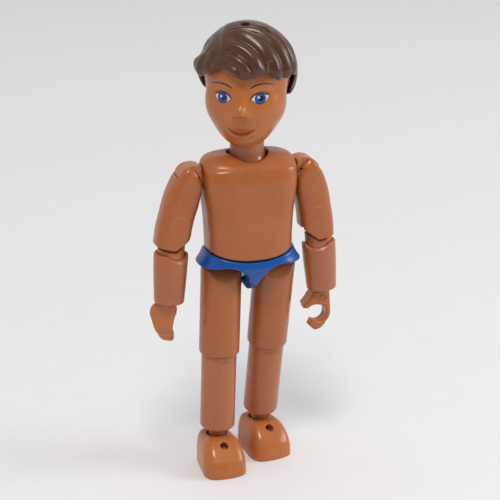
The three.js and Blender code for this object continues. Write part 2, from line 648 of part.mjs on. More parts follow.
// Elbow link, drawn from the elbow pin: an eye, a flat bar and a barrel that sits in the sleeve.
function elbowLink() {
  const half = TONGUE_WIDTH / 2;
  const inward = FOREARM_OFFSET - ELBOW_BAR_INWARD;
  const outward = FOREARM_OFFSET + ELBOW_BAR_OUTWARD;
  const barrelTop = SLEEVE_TOP + 0.75;
  const barrelEnd = SLEEVE_TOP - ELBOW_BARREL_SINK;
  const barrel = SLEEVE_RADIUS - SLEEVE_WALL - SEAT_GAP;
  let body = rod(ELBOW_EYE_RADIUS, [0, -half, 0], [0, half, 0], 22);
  body = body.add(block([inward, -half, barrelTop - 0.3], [outward, half, 0]));
  body = body.add(rod(barrel, [FOREARM_OFFSET, 0, barrelEnd], [FOREARM_OFFSET, 0, barrelTop], 22));
  return body.subtract(rod(ELBOW_PIN_RADIUS + TURN_GAP / 2, [0, -FAR, 0], [0, FAR, 0], 16));
}

// Forearm sleeve: open at the top for the link's barrel and at the end for the wrist peg.
function forearm() {
  const bore = SLEEVE_RADIUS - SLEEVE_WALL;
  const boreEnd = SLEEVE_TOP - ELBOW_BARREL_SINK - SEAT_GAP;
  const pegBore = WRIST_PEG_RADIUS + TURN_GAP;
  const pegTop = SLEEVE_END + WRIST_PEG_LENGTH + TURN_GAP;
  let body = turned([
    [0, SLEEVE_END],
    [SLEEVE_END_RADIUS - 0.6, SLEEVE_END],
    [SLEEVE_END_RADIUS - 0.1, SLEEVE_END + 0.3],
    [SLEEVE_END_RADIUS, SLEEVE_END + 0.9],
    [SLEEVE_RADIUS, SLEEVE_TOP - 1],
    [SLEEVE_RADIUS - 0.15, SLEEVE_TOP],
    [0, SLEEVE_TOP],
  ]);
  body = body.subtract(rod(bore, [0, 0, boreEnd], [0, 0, SLEEVE_TOP + 1], 22));
  body = body.subtract(rod(pegBore, [0, 0, SLEEVE_END - 1], [0, 0, pegTop], 16));
  const reach = SLEEVE_RADIUS * 1.6;
  const notchRise = SLEEVE_TOP + 1.9;
  for (const turn of [-45, 45]) {
    const toward = [-reach * Math.sin(degrees(45)), reach * Math.sin(degrees(turn)), notchRise];
    body = body.subtract(rod(SLEEVE_RADIUS * 0.8, [0, 0, notchRise], toward, 16));
  }
  return body.translate([FOREARM_OFFSET, 0, 0]);
}

// Hand, drawn from the sleeve's end: a clip with a thumb and a curled finger, on a round peg.
function hand() {
  const outer = GRIP_RADIUS + FINGER_THICKNESS;
  const middle = -GRIP_DROP;
  const fingerTip = degrees(-128);
  const thumbTip = degrees(150);
  const onGrip = (radius, angle) => [
    -GRIP_INWARD + radius * Math.cos(angle),
    middle + radius * Math.sin(angle),
  ];
  const clip = new THREE.Shape();
  const back = GRIP_RADIUS + BACK_THICKNESS;
  clip.moveTo(WRIST_RADIUS - WRIST_INWARD, -SEAT_GAP);
  clip.quadraticCurveTo(WRIST_RADIUS - WRIST_INWARD, middle / 2, ...onGrip(back, 0));
  clip.absarc(-GRIP_INWARD, middle, back, 0, degrees(-50), true);
  clip.quadraticCurveTo(1.2 - GRIP_INWARD, middle - outer - 0.5, ...onGrip(outer + 0.6, degrees(-102)));
  clip.lineTo(...onGrip(outer - 0.2, fingerTip));
  clip.lineTo(...onGrip(GRIP_RADIUS, fingerTip));
  clip.absarc(-GRIP_INWARD, middle, GRIP_RADIUS, fingerTip, thumbTip, false);
  clip.lineTo(...onGrip(outer - 0.8, thumbTip + 0.16));
  clip.lineTo(...onGrip(outer - 0.2, thumbTip - 0.12));
  clip.quadraticCurveTo(-WRIST_RADIUS - 0.7, middle / 2, -WRIST_RADIUS, -SEAT_GAP);
  const front = GRIP_BACK - HAND_DEPTH / 2;
  const rear = GRIP_BACK + HAND_DEPTH / 2;
  const finger = GRIP_BACK - FINGER_FORWARD;
  const tip = middle - outer - 1;
  const side = new THREE.Shape();
  side.moveTo(-WRIST_RADIUS, 0);
  side.quadraticCurveTo(front, middle * 0.15, front, middle * 0.5);
  side.quadraticCurveTo(front, middle * 1.2, finger - FINGER_DEPTH / 2, tip);
  side.lineTo(finger + FINGER_DEPTH / 2, tip);
  side.quadraticCurveTo(rear, middle, rear, middle * 0.5);
  side.quadraticCurveTo(rear, middle * 0.15, WRIST_RADIUS, 0);
  const body = acrossY(clip, FAR, 8).intersect(acrossX(side, FAR, 5));
  return body.add(rod(WRIST_PEG_RADIUS, [0, 0, -1.2], [0, 0, WRIST_PEG_LENGTH]));
}

const KNEE_PIN_REACH = THIGH_RADIUS - 1.2;

// Thigh, drawn from the hip axle: a rod rounded about the axle, with a slot for the knee knuckle.
// It is cut away behind the knee.
function thigh() {
  const end = -THIGH_LENGTH - KNEE_HEM;
  const knee = -THIGH_LENGTH;
  const below = block([-FAR, -FAR, -FAR], [FAR, FAR, 0]);
  const round = rod(THIGH_RADIUS, [-FAR, 0, 0], [FAR, 0, 0], 24).add(below);
  let body = rod(THIGH_RADIUS, [0, 0, end], [0, 0, THIGH_RADIUS], 24).intersect(round);
  const slot = KNUCKLE_WIDTH + 2 * TURN_GAP;
  const room = KNUCKLE_RADIUS + TURN_GAP;
  body = body.subtract(rod(room, [-slot / 2, 0, knee], [slot / 2, 0, knee], 22));
  body = body.subtract(block([-slot / 2, -room, -FAR], [slot / 2, FAR, knee]));
  body = body.subtract(block([-slot / 2, 0, -FAR], [slot / 2, FAR, knee + room]));
  const cut = new THREE.Shape();
  cut.moveTo(KNEE_HEM, knee + SHIN_RADIUS + TURN_GAP);
  cut.lineTo(KNEE_HEM, knee);
  cut.absarc(0, knee, KNEE_HEM, 0, -Math.PI / 2, true);
  cut.lineTo(0, -FAR);
  cut.lineTo(FAR, -FAR);
  cut.lineTo(FAR, knee + SHIN_RADIUS + TURN_GAP);
  body = body.subtract(acrossX(cut, FAR, 6));
  const pinRoom = KNEE_PIN_RADIUS + SEAT_GAP / 2;
  body = body.subtract(rod(pinRoom, [-FAR, 0, knee], [KNEE_PIN_REACH + SEAT_GAP, 0, knee]));
  return body.subtract(rod(HIP_AXLE_RADIUS + TURN_GAP, [-FAR, 0, 0], [HIP_AXLE_REACH + TURN_GAP, 0, 0], 16));
}

const kneePin = () => rod(KNEE_PIN_RADIUS, [0.3 - THIGH_RADIUS, 0, 0], [KNEE_PIN_REACH, 0, 0]);

// Knee link, drawn from the knee pin: the knuckle and the stem that is pressed into the shin.
function kneeLink() {
  const half = KNUCKLE_WIDTH / 2;
  let body = rod(KNUCKLE_RADIUS, [-half, 0, 0], [half, 0, 0], 22);
  body = body.add(rod(KNEE_STEM_RADIUS, [0, 0, -KNEE_STEM_LENGTH], [0, 0, 0], 16));
  return body.subtract(rod(KNEE_PIN_RADIUS + TURN_GAP / 2, [-FAR, 0, 0], [FAR, 0, 0], 16));
}

// Shin, drawn from the knee pin, with sockets for the knee link and the ankle peg.
function shin() {
  const top = -KNEE_HEM - TURN_GAP;
  const end = -SHIN_LENGTH + ANKLE_NECK_LENGTH;
  const round = SHIN_END_ROUND;
  let body = turned([
    [0, end],
    [SHIN_RADIUS - round, end],
    [SHIN_RADIUS - round * 0.45, end + round * 0.18],
    [SHIN_RADIUS - round * 0.1, end + round * 0.55],
    [SHIN_RADIUS, end + round],
    [SHIN_RADIUS, top],
    [0, top],
  ]);
  const room = KNUCKLE_WIDTH / 2 + SEAT_GAP;
  const stem = KNEE_STEM_RADIUS + SEAT_GAP;
  const plug = ANKLE_NECK_RADIUS + SEAT_GAP;
  body = body.subtract(rod(KNUCKLE_RADIUS + SEAT_GAP, [-room, 0, 0], [room, 0, 0], 22));
  body = body.subtract(rod(stem, [0, 0, -KNEE_STEM_LENGTH - SEAT_GAP], [0, 0, 0], 16));
  return body.subtract(rod(plug, [0, 0, end - 1], [0, 0, end + ANKLE_PLUG_LENGTH + SEAT_GAP], 16));
}

// Ankle peg, drawn from the middle of its ball: ball, neck, collar under the shin and plug in it.
function anklePeg() {
  const steps = 5;
  const start = Math.asin(ANKLE_NECK_RADIUS / ANKLE_BALL_RADIUS);
  const round = Array.from({ length: steps + 1 }, (_, i) => {
    const tilt = Math.PI - (i / steps) * (Math.PI - start);
    return [ANKLE_BALL_RADIUS * Math.sin(tilt), ANKLE_BALL_RADIUS * Math.cos(tilt)];
  });
  round[0][0] = 0;
  const collarTop = ANKLE_NECK_LENGTH - SEAT_GAP;
  return turned(
    [
      ...round,
      [ANKLE_NECK_RADIUS, collarTop - 0.5],
      [ANKLE_COLLAR_RADIUS, collarTop - 0.5],
      [ANKLE_COLLAR_RADIUS, collarTop],
      [ANKLE_NECK_RADIUS, collarTop],
      [ANKLE_NECK_RADIUS, ANKLE_NECK_LENGTH + ANKLE_PLUG_LENGTH],
      [0, ANKLE_NECK_LENGTH + ANKLE_PLUG_LENGTH],
    ],
    18,
  );
}

// Foot, drawn from the middle of the ankle ball: a shoe-like block with a socket and a hole in the instep.
function foot() {
  const half = FOOT_WIDTH / 2;
  const heelHalf = HEEL_WIDTH / 2;
  const toe = HEEL_TO_ANKLE - FOOT_LENGTH;
  const sole = new THREE.Shape();
  sole.moveTo(heelHalf, HEEL_TO_ANKLE / 4);
  sole.lineTo(half, toe + 5);
  sole.bezierCurveTo(half, toe + 1.6, 3, toe, 0, toe);
  sole.bezierCurveTo(-3, toe, -half, toe + 1.6, -half, toe + 5);
  sole.lineTo(-heelHalf, HEEL_TO_ANKLE / 4);
  sole.bezierCurveTo(-heelHalf, HEEL_TO_ANKLE - 1, -2.6, HEEL_TO_ANKLE, 0, HEEL_TO_ANKLE);
  sole.bezierCurveTo(2.6, HEEL_TO_ANKLE, heelHalf, HEEL_TO_ANKLE - 1, heelHalf, HEEL_TO_ANKLE / 4);
  const upright = new THREE.ExtrudeGeometry(sole, { depth: FAR, bevelEnabled: false, curveSegments: 6 });
  const profile = new THREE.Shape();
  const mouthFront = -ANKLE_BALL_RADIUS - 0.4;
  profile.moveTo(FAR, 0);
  profile.lineTo(FAR, INSTEP_HEIGHT - 2.4);
  profile.lineTo(HEEL_TO_ANKLE, INSTEP_HEIGHT - 2.4);
  profile.quadraticCurveTo(HEEL_TO_ANKLE - 0.3, INSTEP_HEIGHT, HEEL_TO_ANKLE - 2.2, INSTEP_HEIGHT);
  profile.lineTo(mouthFront, INSTEP_HEIGHT);
  profile.quadraticCurveTo(mouthFront - 1.2, INSTEP_HEIGHT, mouthFront - 2, INSTEP_HEIGHT - 0.7);
  profile.lineTo(toe + 1.8, TOE_HEIGHT + 0.3);
  profile.quadraticCurveTo(toe + 0.4, TOE_HEIGHT - 0.6, toe, TOE_HEIGHT - 2.4);
  profile.lineTo(toe, 0);
  const section = new THREE.Shape();
  section.moveTo(half, 0);
  section.lineTo(half, TOE_HEIGHT / 2);
  section.quadraticCurveTo(half - 0.5, INSTEP_HEIGHT - 0.9, half - FOOT_TAPER, INSTEP_HEIGHT);
  section.lineTo(FOOT_TAPER - half, INSTEP_HEIGHT);
  section.quadraticCurveTo(0.5 - half, INSTEP_HEIGHT - 0.9, -half, TOE_HEIGHT / 2);
  section.lineTo(-half, 0);
  let body = solid(upright).intersect(acrossX(profile, FAR, 4)).intersect(acrossY(section, FAR, 4));
  const centre = [0, 0, ANKLE_BALL_HEIGHT];
  const mouth = ANKLE_BALL_RADIUS - SEAT_GAP;
  body = body.subtract(ball(ANKLE_BALL_RADIUS + ANKLE_BALL_ROOM, centre, 20));
  body = body.subtract(rod(mouth, centre, [0, 0, FAR], 20));
  const holeY = toe + 4.3;
  const slope = Math.atan2(INSTEP_HEIGHT - 1 - TOE_HEIGHT, mouthFront - toe - 3.8);
  const surface = TOE_HEIGHT + 0.3 + (holeY - toe - 1.8) * Math.tan(slope);
  const along = (depth) => [0, holeY + depth * Math.sin(slope), surface - depth * Math.cos(slope)];
  body = body.subtract(rod(FOOT_HOLE_RADIUS, along(FOOT_HOLE_DEPTH), along(-6)));
  return body.translate([0, 0, -ANKLE_BALL_HEIGHT]);
}

function named(name, body, finish) {
  const mesh = new THREE.Mesh(geometryOf(body), new THREE.MeshStandardMaterial(finish));
  mesh.name = name;
  return mesh;
}

function frame(name, parent, place, turn = [0, 0, 0]) {
  const group = new THREE.Group();
  group.name = name;
  group.position.set(...place);
  group.rotation.set(...turn.map(degrees), "ZYX");
  parent.add(group);
  return group;
}

// One arm, in a frame that is mirrored for the right side.
function addArm(side, parent) {
  const stance = STANCE[side];
  const shoulder = frame(`${side}_shoulder`, parent, [SHOULDER_OUT, 0, SHOULDER_HEIGHT]);
  shoulder.add(named(`${side}_shoulder_link`, shoulderLink(), SKIN_ORANGE));
  const arm = frame(`${side}_arm`, shoulder, [0, 0, 0], [0, -stance.lift, 0]);
  arm.add(named(`${side}_upper_arm`, upperArm(), SKIN));
  arm.add(named(`${side}_shoulder_pin`, armPin(SHOULDER_PIN_RADIUS), SKIN));
  const splay = stance.elbow - SLEEVE_SPLAY;
  const elbow = frame(`${side}_elbow`, arm, [ELBOW_OUT, 0, -ELBOW_DROP], [0, splay, 0]);
  const pin = named(`${side}_elbow_pin`, armPin(ELBOW_PIN_RADIUS), SKIN);
  pin.position.set(ELBOW_OUT, 0, -ELBOW_DROP);
  arm.add(pin);
  elbow.add(named(`${side}_elbow_link`, elbowLink(), SKIN_ORANGE));
  elbow.add(named(`${side}_forearm`, forearm(), SKIN_PINK));
  const wrist = frame(`${side}_wrist`, elbow, [FOREARM_OFFSET, 0, SLEEVE_END], [0, 0, stance.hand]);
  wrist.add(named(`${side}_hand`, hand(), SKIN));
}

// One leg. The foot stands flat under the ankle, whatever the slant of the leg.
function addLeg(side, parent) {
  const stance = STANCE[side];
  const out = (side === "left" ? 1 : -1) * (HIP_SPACING / 2);
  const hip = frame(`${side}_hip`, parent, [out, HIP_BACK, HIP_HEIGHT], [stance.swing, -stance.lean, 0]);
  const sided = (body) => (out < 0 ? body.mirror([1, 0, 0]) : body);
  hip.add(named(`${side}_thigh`, sided(thigh()), SKIN));
  const knee = frame(`${side}_knee`, hip, [0, 0, -THIGH_LENGTH]);
  const pin = named(`${side}_knee_pin`, sided(kneePin()), SKIN);
  pin.position.set(0, 0, -THIGH_LENGTH);
  hip.add(pin);
  knee.add(named(`${side}_knee_link`, kneeLink(), SKIN_ORANGE));
  knee.add(named(`${side}_shin`, shin(), SKIN_PINK));
  const peg = named(`${side}_ankle_peg`, anklePeg(), SKIN_PINK);
  peg.position.set(0, 0, -SHIN_LENGTH);
  knee.add(peg);
  parent.updateMatrixWorld(true);
  const ankle = parent.worldToLocal(peg.getWorldPosition(new THREE.Vector3()));
  const place = [ankle.x, ankle.y, ANKLE_BALL_HEIGHT];
  const flat = frame(`${side}_ankle`, parent, place, [0, 0, stance.toe]);
  flat.add(named(`${side}_foot`, foot(), SKIN_ORANGE));
}

const doll = new THREE.Group();
const torso = torsoBody();
doll.add(named("torso_front", torsoFront(torso), SKIN));
doll.add(named("torso_rear", torsoRear(torso), SKIN));
doll.add(named("pelvis_core", pelvisCore(), SKIN));
doll.add(named("briefs", briefs(), BLUE));
doll.add(named("hip_axle", hipAxle(), SKIN));
const neck = frame("neck", doll, [0, 0, COLLAR_HEIGHT], [0, 0, HEAD_TURN]);
neck.add(named("neck_post", neckPost(), SKIN_PINK));
neck.add(named("head", head(), SKIN));
neck.add(named("hair", hair(), BROWN));
addArm("left", doll);
const mirrored = new THREE.Group();
mirrored.scale.x = -1;
doll.add(mirrored);
addArm("right", mirrored);
addLeg("left", doll);
addLeg("right", doll);

// The origin is under the middle of the doll's box, on the floor.
doll.updateMatrixWorld(true);
const box = new THREE.Box3().setFromObject(doll, true);
const middle = box.getCenter(new THREE.Vector3());
doll.position.set(-middle.x, -middle.y, -box.min.z);

export default doll;
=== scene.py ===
import functools
import json
import math

import bmesh
import bpy
import numpy as np
import openvdb
from bpy.props import FloatProperty, FloatVectorProperty, PointerProperty
from mathutils import Matrix, Vector


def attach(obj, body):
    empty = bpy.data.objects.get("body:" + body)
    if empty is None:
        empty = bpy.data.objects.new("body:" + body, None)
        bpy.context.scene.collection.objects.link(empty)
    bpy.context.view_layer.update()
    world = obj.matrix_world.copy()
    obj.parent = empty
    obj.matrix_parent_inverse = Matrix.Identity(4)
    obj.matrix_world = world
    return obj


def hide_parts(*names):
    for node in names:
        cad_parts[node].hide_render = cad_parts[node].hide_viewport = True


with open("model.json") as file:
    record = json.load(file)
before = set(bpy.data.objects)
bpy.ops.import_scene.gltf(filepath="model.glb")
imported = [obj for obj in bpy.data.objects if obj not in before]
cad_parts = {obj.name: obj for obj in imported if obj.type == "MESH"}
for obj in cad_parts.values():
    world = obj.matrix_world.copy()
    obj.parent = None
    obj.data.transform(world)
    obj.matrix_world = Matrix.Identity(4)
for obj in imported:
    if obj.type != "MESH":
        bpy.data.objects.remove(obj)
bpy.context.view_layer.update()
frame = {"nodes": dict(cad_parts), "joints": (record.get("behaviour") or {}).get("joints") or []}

bl_info = {
    "name": "Jointed plastic doll",
    "version": (1, 0, 0),
    "blender": (4, 5, 0),
    "location": "View3D > Sidebar > Doll",
    "description": "Builds the moulded pieces, painted face and stage of a jointed plastic doll",
    "category": "Object",
}

JOINTS = {joint["name"]: joint for joint in frame["joints"]}
SIDES = ("left", "right")


# Properties: what a user would change.


def angle(name, description, degrees):
    return FloatProperty(name=name, description=description, default=math.radians(degrees), subtype="ANGLE")


def length(name, description, millimetres):
    default = millimetres / 1000
    return FloatProperty(name=name, description=description, default=default, unit="LENGTH", precision=5)


def amount(name, description, value):
    return FloatProperty(name=name, description=description, default=value, min=0, subtype="FACTOR")


def linear(value):
    """The light of a screen colour's value from 0 to 255."""
    share = value / 255
    return share / 12.92 if share <= 0.04045 else ((share + 0.055) / 1.055) ** 2.4


def colour(name, description, red, green, blue):
    default = (linear(red), linear(green), linear(blue), 1)
    return FloatVectorProperty(
        name=name, description=description, default=default, size=4, min=0, max=1, subtype="COLOR"
    )


class DollStance(bpy.types.PropertyGroup):
    """How the pieces stand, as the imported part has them."""

    head_turn: angle("Head turn", "Turn of the head to the doll's right", -24)
    left_lift: angle("Left arm lift", "Sideways lift of the left upper arm", 0)
    right_lift: angle("Right arm lift", "Sideways lift of the right upper arm", 6)
    left_forearm: angle("Left forearm", "Tilt of the left forearm", -4.4)
    right_forearm: angle("Right forearm", "Tilt of the right forearm", -3.6)
    left_hand: angle("Left hand turn", "Turn of the left hand in its sleeve", 0)
    right_hand: angle("Right hand turn", "Turn of the right hand in its sleeve", -60)
    left_swing: angle("Left leg swing", "Backward swing of the left leg", 12)
    right_swing: angle("Right leg swing", "Backward swing of the right leg", 3.5)
    left_lean: angle("Left leg lean", "Sideways lean of the left leg", -1.5)
    right_lean: angle("Right leg lean", "Sideways lean of the right leg", -1.1)
    left_toe: angle("Left toe turn", "Turn of the left foot on its ankle", 11)
    right_toe: angle("Right toe turn", "Turn of the right foot on its ankle", 3)


class DollShape(bpy.types.PropertyGroup):
    """Sizes of the moulded detail."""

    step: length("Mesh step", "Size of the cells that each piece is meshed with", 0.2)
    pin_head: length("Pin head radius", "Radius of the round pin heads in the arms", 1.95)
    pin_rise: length("Pin head rise", "How far a pin head stands out of the arm", 0.05)
    locks: length("Lock relief", "Height of the strongest locks and grooves of the hair", 0.6)
    nose: length("Nose length", "How far the nose stands out of the face", 1.9)
    lips: length("Lip fullness", "How far the lips stand out of the face", 0.6)
    dimple: length("Hand dimple", "Radius of the mould mark in the hand", 0.85)


class DollColours(bpy.types.PropertyGroup):
    """Colours of the plastics and the face paint, with some painted shade and highlight."""

    skin: colour("Skin", "Plastic of the torso, arms and thighs", 166, 93, 47)
    face: colour("Face", "Plastic of the head", 176, 101, 48)
    skin_pink: colour("Pinker skin", "Plastic of the shins, sleeves and neck", 168, 98, 60)
    skin_orange: colour("Warmer skin", "Plastic of the links, hands and feet", 178, 103, 52)
    briefs: colour("Briefs", "Blue plastic of the briefs", 8, 78, 156)
    hair: colour("Hair", "Brown plastic of the hair cap", 78, 45, 27)
    white: colour("Eye white", "Paint of the eye whites", 202, 199, 204)
    iris: colour("Iris", "Paint of the irises", 22, 86, 172)
    rim: colour("Iris rim", "Darker paint round the edge of the irises", 14, 44, 110)
    ink: colour("Ink", "Paint of the pupils, lashes and brows", 24, 20, 30)
    lip: colour("Lips", "Tint of the lips", 150, 62, 36)
    # The thin dark line below each knee is painted shade that stands for the slit there.
    seam: colour("Seam", "Painted shade of the thin slit across the front of the shins", 96, 54, 32)
    # The lighter rim of the pin heads is a painted highlight.
    rim_light: colour("Pin rim", "Painted highlight round the rim of the pin heads", 184, 120, 80)
    gloss: amount("Plastic roughness", "Roughness of the moulded plastic", 0.27)
    dust: amount("Dust", "Amount of fine dust on the plastic", 0.35)


class DollStage(bpy.types.PropertyGroup):
    """Floor, lamps and camera."""

    floor: colour("Floor", "Pale floor", 234, 235, 238)
    # Painted light: the far floor is paler to make up for the lamps' light falling off behind the doll.
    floor_far: colour("Far floor", "Floor painted paler far behind the doll, where less lamp light reaches", 252, 252, 254)
    room: amount("Room light", "Strength of the even light of the room", 0.62)
    shade: amount("Shaded front", "Share of the room light that is left in front of the doll", 0.4)
    ceiling: amount("Ceiling lamp", "Power of the warm lamp above, in watts", 3.3)
    window: amount("Window lamp", "Power of the cool lamp at the side, in watts", 3)
    camera_yaw: angle("Camera yaw", "Direction of the camera about the vertical", -15.91)
    camera_pitch: angle("Camera pitch", "How far the camera looks down", 18.59)
    camera_roll: angle("Camera roll", "Roll of the camera", -0.26)
    focal: amount("Focal length", "Focal length as a share of the picture width", 2.918)


class DollSettings(bpy.types.PropertyGroup):
    """All settings of the doll."""

    stance: PointerProperty(type=DollStance)
    shape: PointerProperty(type=DollShape)
    colours: PointerProperty(type=DollColours)
    stage: PointerProperty(type=DollStage)


def settings():
    return bpy.context.scene.doll


def millimetres(name):
    return getattr(settings().shape, name) * 1000


# Frames of the joints, in millimetres.


def joint_place(name):
    return Matrix.Translation(Vector(JOINTS[name]["pos_m"]) * 1000)


def turn(axis, radians):
    return Matrix.Rotation(radians, 4, axis)


MIRROR = Matrix.Diagonal((-1, 1, 1, 1))


def handed(side):
    return MIRROR if side == "right" else Matrix.Identity(4)


def body_place():
    middle = Vector(JOINTS["neck_turn"]["pos_m"]) * 1000
    return Matrix.Translation((middle.x, middle.y, 0))


def neck_place():
    return joint_place("neck_turn") @ turn("Z", settings().stance.head_turn)


def shoulder_place(side):
    return joint_place(f"{side}_shoulder_lift") @ handed(side)


def stands(side, name):
    """How a piece of a side stands."""
    return getattr(settings().stance, f"{side}_{name}")


def arm_place(side):
    return shoulder_place(side) @ turn("Y", -stands(side, "lift"))


def elbow_place(side):
    return joint_place(f"{side}_elbow_bend") @ handed(side) @ turn("Y", stands(side, "forearm"))


def wrist_place(side):
    sleeve = joint_place(f"{side}_wrist_turn") @ handed(side) @ turn("Y", stands(side, "forearm"))
    return sleeve @ turn("Z", stands(side, "hand"))


def leg_place(side, joint):
    leg = turn("Y", -stands(side, "lean")) @ turn("X", stands(side, "swing"))
    return joint_place(f"{side}_{joint}") @ leg


def ankle_place(side):
    return joint_place(f"{side}_ankle_turn") @ turn("Z", stands(side, "toe"))


# Solid forms as distance fields, negative inside, over arrays of x, y and z in millimetres.

FINE_EDGE, EDGE, SOFT_EDGE = 0.15, 0.2, 0.3


def both(a, b, edge):
    """What lies inside both forms, with a rounded edge between them."""
    return np.maximum(a, b) + np.maximum(edge - np.abs(a - b), 0) ** 2 / (4 * edge)


def either(a, b, fillet):
    """What lies inside either form, with a fillet between them."""
    return np.minimum(a, b) - np.maximum(fillet - np.abs(a - b), 0) ** 2 / (4 * fillet)


def cut(body, edge, *limits):
    """What is left of a body after a cut inside all its limits, with a rounded edge."""
    return both(body, -functools.reduce(np.maximum, limits), edge)


def span(value, low, high):
    """Inside between two values."""
    return np.maximum(low - value, value - high)


def disc(u, v, radius, centre=(0, 0)):
    """Inside a circle in a plane, and so inside a round bar across it."""
    return np.sqrt((u - centre[0]) ** 2 + (v - centre[1]) ** 2 + 1e-12) - radius


def ball(x, y, z, radius, centre):
    across = (x - centre[0]) ** 2 + (y - centre[1]) ** 2 + (z - centre[2]) ** 2
    return np.sqrt(across + 1e-12) - radius


def slanted_rod(x, y, z, radius, start, end, edge):
    """A round bar between two places."""
    start = np.array(start, float)
    along = np.array(end, float) - start
    reach = np.linalg.norm(along)
    along /= reach
    ox, oy, oz = x - start[0], y - start[1], z - start[2]
    share = ox * along[0] + oy * along[1] + oz * along[2]
    apart = (ox - share * along[0]) ** 2 + (oy - share * along[1]) ** 2 + (oz - share * along[2]) ** 2
    return both(np.sqrt(apart + 1e-12) - radius, span(share, 0, reach), edge)


def outline(u, v, points):
    """Distance to a closed line of points in a plane."""
    points = np.asarray(points, float)
    shape = np.broadcast(u, v).shape
    nearest = np.full(shape, 1e9)
    inside = np.zeros(shape, bool)
    for (au, av), (bu, bv) in zip(points, np.roll(points, -1, axis=0)):
        eu, ev = bu - au, bv - av
        size = eu * eu + ev * ev
        if size < 1e-12:
            continue
        share = np.clip(((u - au) * eu + (v - av) * ev) / size, 0, 1)
        nearest = np.minimum(nearest, (u - au - share * eu) ** 2 + (v - av - share * ev) ** 2)
        if av != bv:
            inside ^= ((av > v) != (bv > v)) & (u < au + (v - av) / (bv - av) * eu)
    return np.where(inside, -1, 1) * np.sqrt(nearest)


def arc(centre, radius, start, end, steps=12):
    turns = np.radians(np.linspace(start, end, steps))
    return [(centre[0] + radius * math.cos(t), centre[1] + radius * math.sin(t)) for t in turns]


def bend(*points, steps=8):
    """Points of a curve from the first point to the last, drawn towards those between."""
    made = []
    last = len(points) - 1
    for share in np.linspace(0, 1, steps + 1):
        rest = 1 - share
        weights = [math.comb(last, i) * share**i * rest ** (last - i) for i in range(last + 1)]
        made.append(tuple(np.dot(weights, [point[axis] for point in points]) for axis in (0, 1)))
    return made


def smooth(value, low, high):
    """A soft step from 0 at a low value to 1 at a high one."""
    share = np.clip((value - low) / (high - low), 0, 1)
    return share * share * (3 - 2 * share)


def eased(at, places, values):
    """A smooth line through values at rising places, with no overshoot."""
    places = np.asarray(places, float)
    values = np.asarray(values, float)
    gap = np.diff(places)
    pace = np.diff(values) / gap
    slopes = np.zeros_like(values)
    slopes[0], slopes[-1] = pace[0], pace[-1]
    for i in range(1, len(values) - 1):
        if pace[i - 1] * pace[i] > 0:
            before, after = 2 * gap[i] + gap[i - 1], gap[i] + 2 * gap[i - 1]
            slopes[i] = (before + after) / (before / pace[i - 1] + after / pace[i])
    index = np.clip(np.searchsorted(places, at) - 1, 0, len(gap) - 1)
    t = np.clip((at - places[index]) / gap[index], 0, 1)
    rise = gap[index]
    start, end = values[index], values[index + 1]
    lift = (1 - t) ** 2 * t * rise * slopes[index] - t * t * (1 - t) * rise * slopes[index + 1]
    return start + (end - start) * t * t * (3 - 2 * t) + lift


def lofted(x, y, z, levels):
    """A form of rounded-box rings: rows of height, middle x, half width, front, rear and squareness."""
    height, middle, half, front, rear, square = np.array(levels, float).T
    n = eased(z, height, square)
    wide = eased(z, height, half)
    deep = np.where(y < 0, eased(z, height, front), eased(z, height, rear))
    u = np.abs(x - eased(z, height, middle)) / wide + 1e-5
    v = np.abs(y) / deep + 1e-5
    ring = (u**n + v**n) ** (1 / n)
    slope = ring ** (1 - n) * np.sqrt((u ** (n - 1) / wide) ** 2 + (v ** (n - 1) / deep) ** 2)
    return (ring - 1) / slope


# Meshes from the fields.


def settled(field, points, step):
    """Points moved onto the field's surface."""
    nudge = 0.02
    for _ in range(2):
        x, y, z = points.T
        slope = [
            field(x + nudge, y, z) - field(x - nudge, y, z),
            field(x, y + nudge, z) - field(x, y - nudge, z),
            field(x, y, z + nudge) - field(x, y, z - nudge),
        ]
        slope = np.stack(slope, axis=1) / (2 * nudge)
        steep = np.maximum((slope**2).sum(axis=1), 0.05)
        move = -(field(x, y, z) / steep)[:, None] * slope
        far = np.maximum(np.linalg.norm(move, axis=1), 1e-9)
        points = points + move * np.minimum(1, 0.6 * step / far)[:, None]
    return points


def meshed(field, low, high, coarse=1.0):
    """Points and faces of a field's surface inside a box."""
    step = millimetres("step") * coarse * 1
    low = np.array(low, float) - 2 * step
    high = np.array(high, float) + 2 * step
    counts = np.ceil((high - low) / step).astype(int) + 1
    x, y, z = (low[i] + step * np.arange(counts[i]) for i in range(3))
    values = field(x[:, None, None], y[None, :, None], z[None, None, :])
    grid = openvdb.FloatGrid(1.0)
    grid.copyFromArray(np.array(np.broadcast_to(values, counts), dtype=np.float32))
    points, faces = grid.convertToQuads(0.0)
    if not len(faces):
        raise RuntimeError("a field has no surface in its box")
    return settled(field, low + points.astype(float) * step, step), faces.tolist()


def linked(name, data):
    made = bpy.data.objects.new(name, data)
    bpy.context.scene.collection.objects.link(made)
    return made


def placed(name, points, faces, place, material):
    """A mesh object in the part's frame from points in millimetres in a local frame."""
    matrix = np.array(place)
    world = (points @ matrix[:3, :3].T + matrix[:3, 3]) / 1000
    faces = [tuple(face) for face in faces]
    if np.linalg.det(matrix[:3, :3]) < 0:
        faces = [face[::-1] for face in faces]
    mesh = bpy.data.meshes.new(name)
    mesh.from_pydata(world.tolist(), [], faces)
    mesh.shade_smooth()
    mesh.materials.append(material)
    return linked(name, mesh)


def add_piece(node, shape, place, body, slot, material=None):
    """The finished piece that stands for a CAD node, in its slot's plastic unless another is given."""
    piece = placed(f"{node}_moulding", *shape, place, material or skin(slot))
    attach(piece, body)
    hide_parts(node)
    return piece


def set_tint(piece, values):
    """How far each point of a piece takes its material's tint."""
    tint = piece.data.attributes.new("tint", "FLOAT", "POINT")
    tint.data.foreach_set("value", np.asarray(values, np.float32))


# Materials.


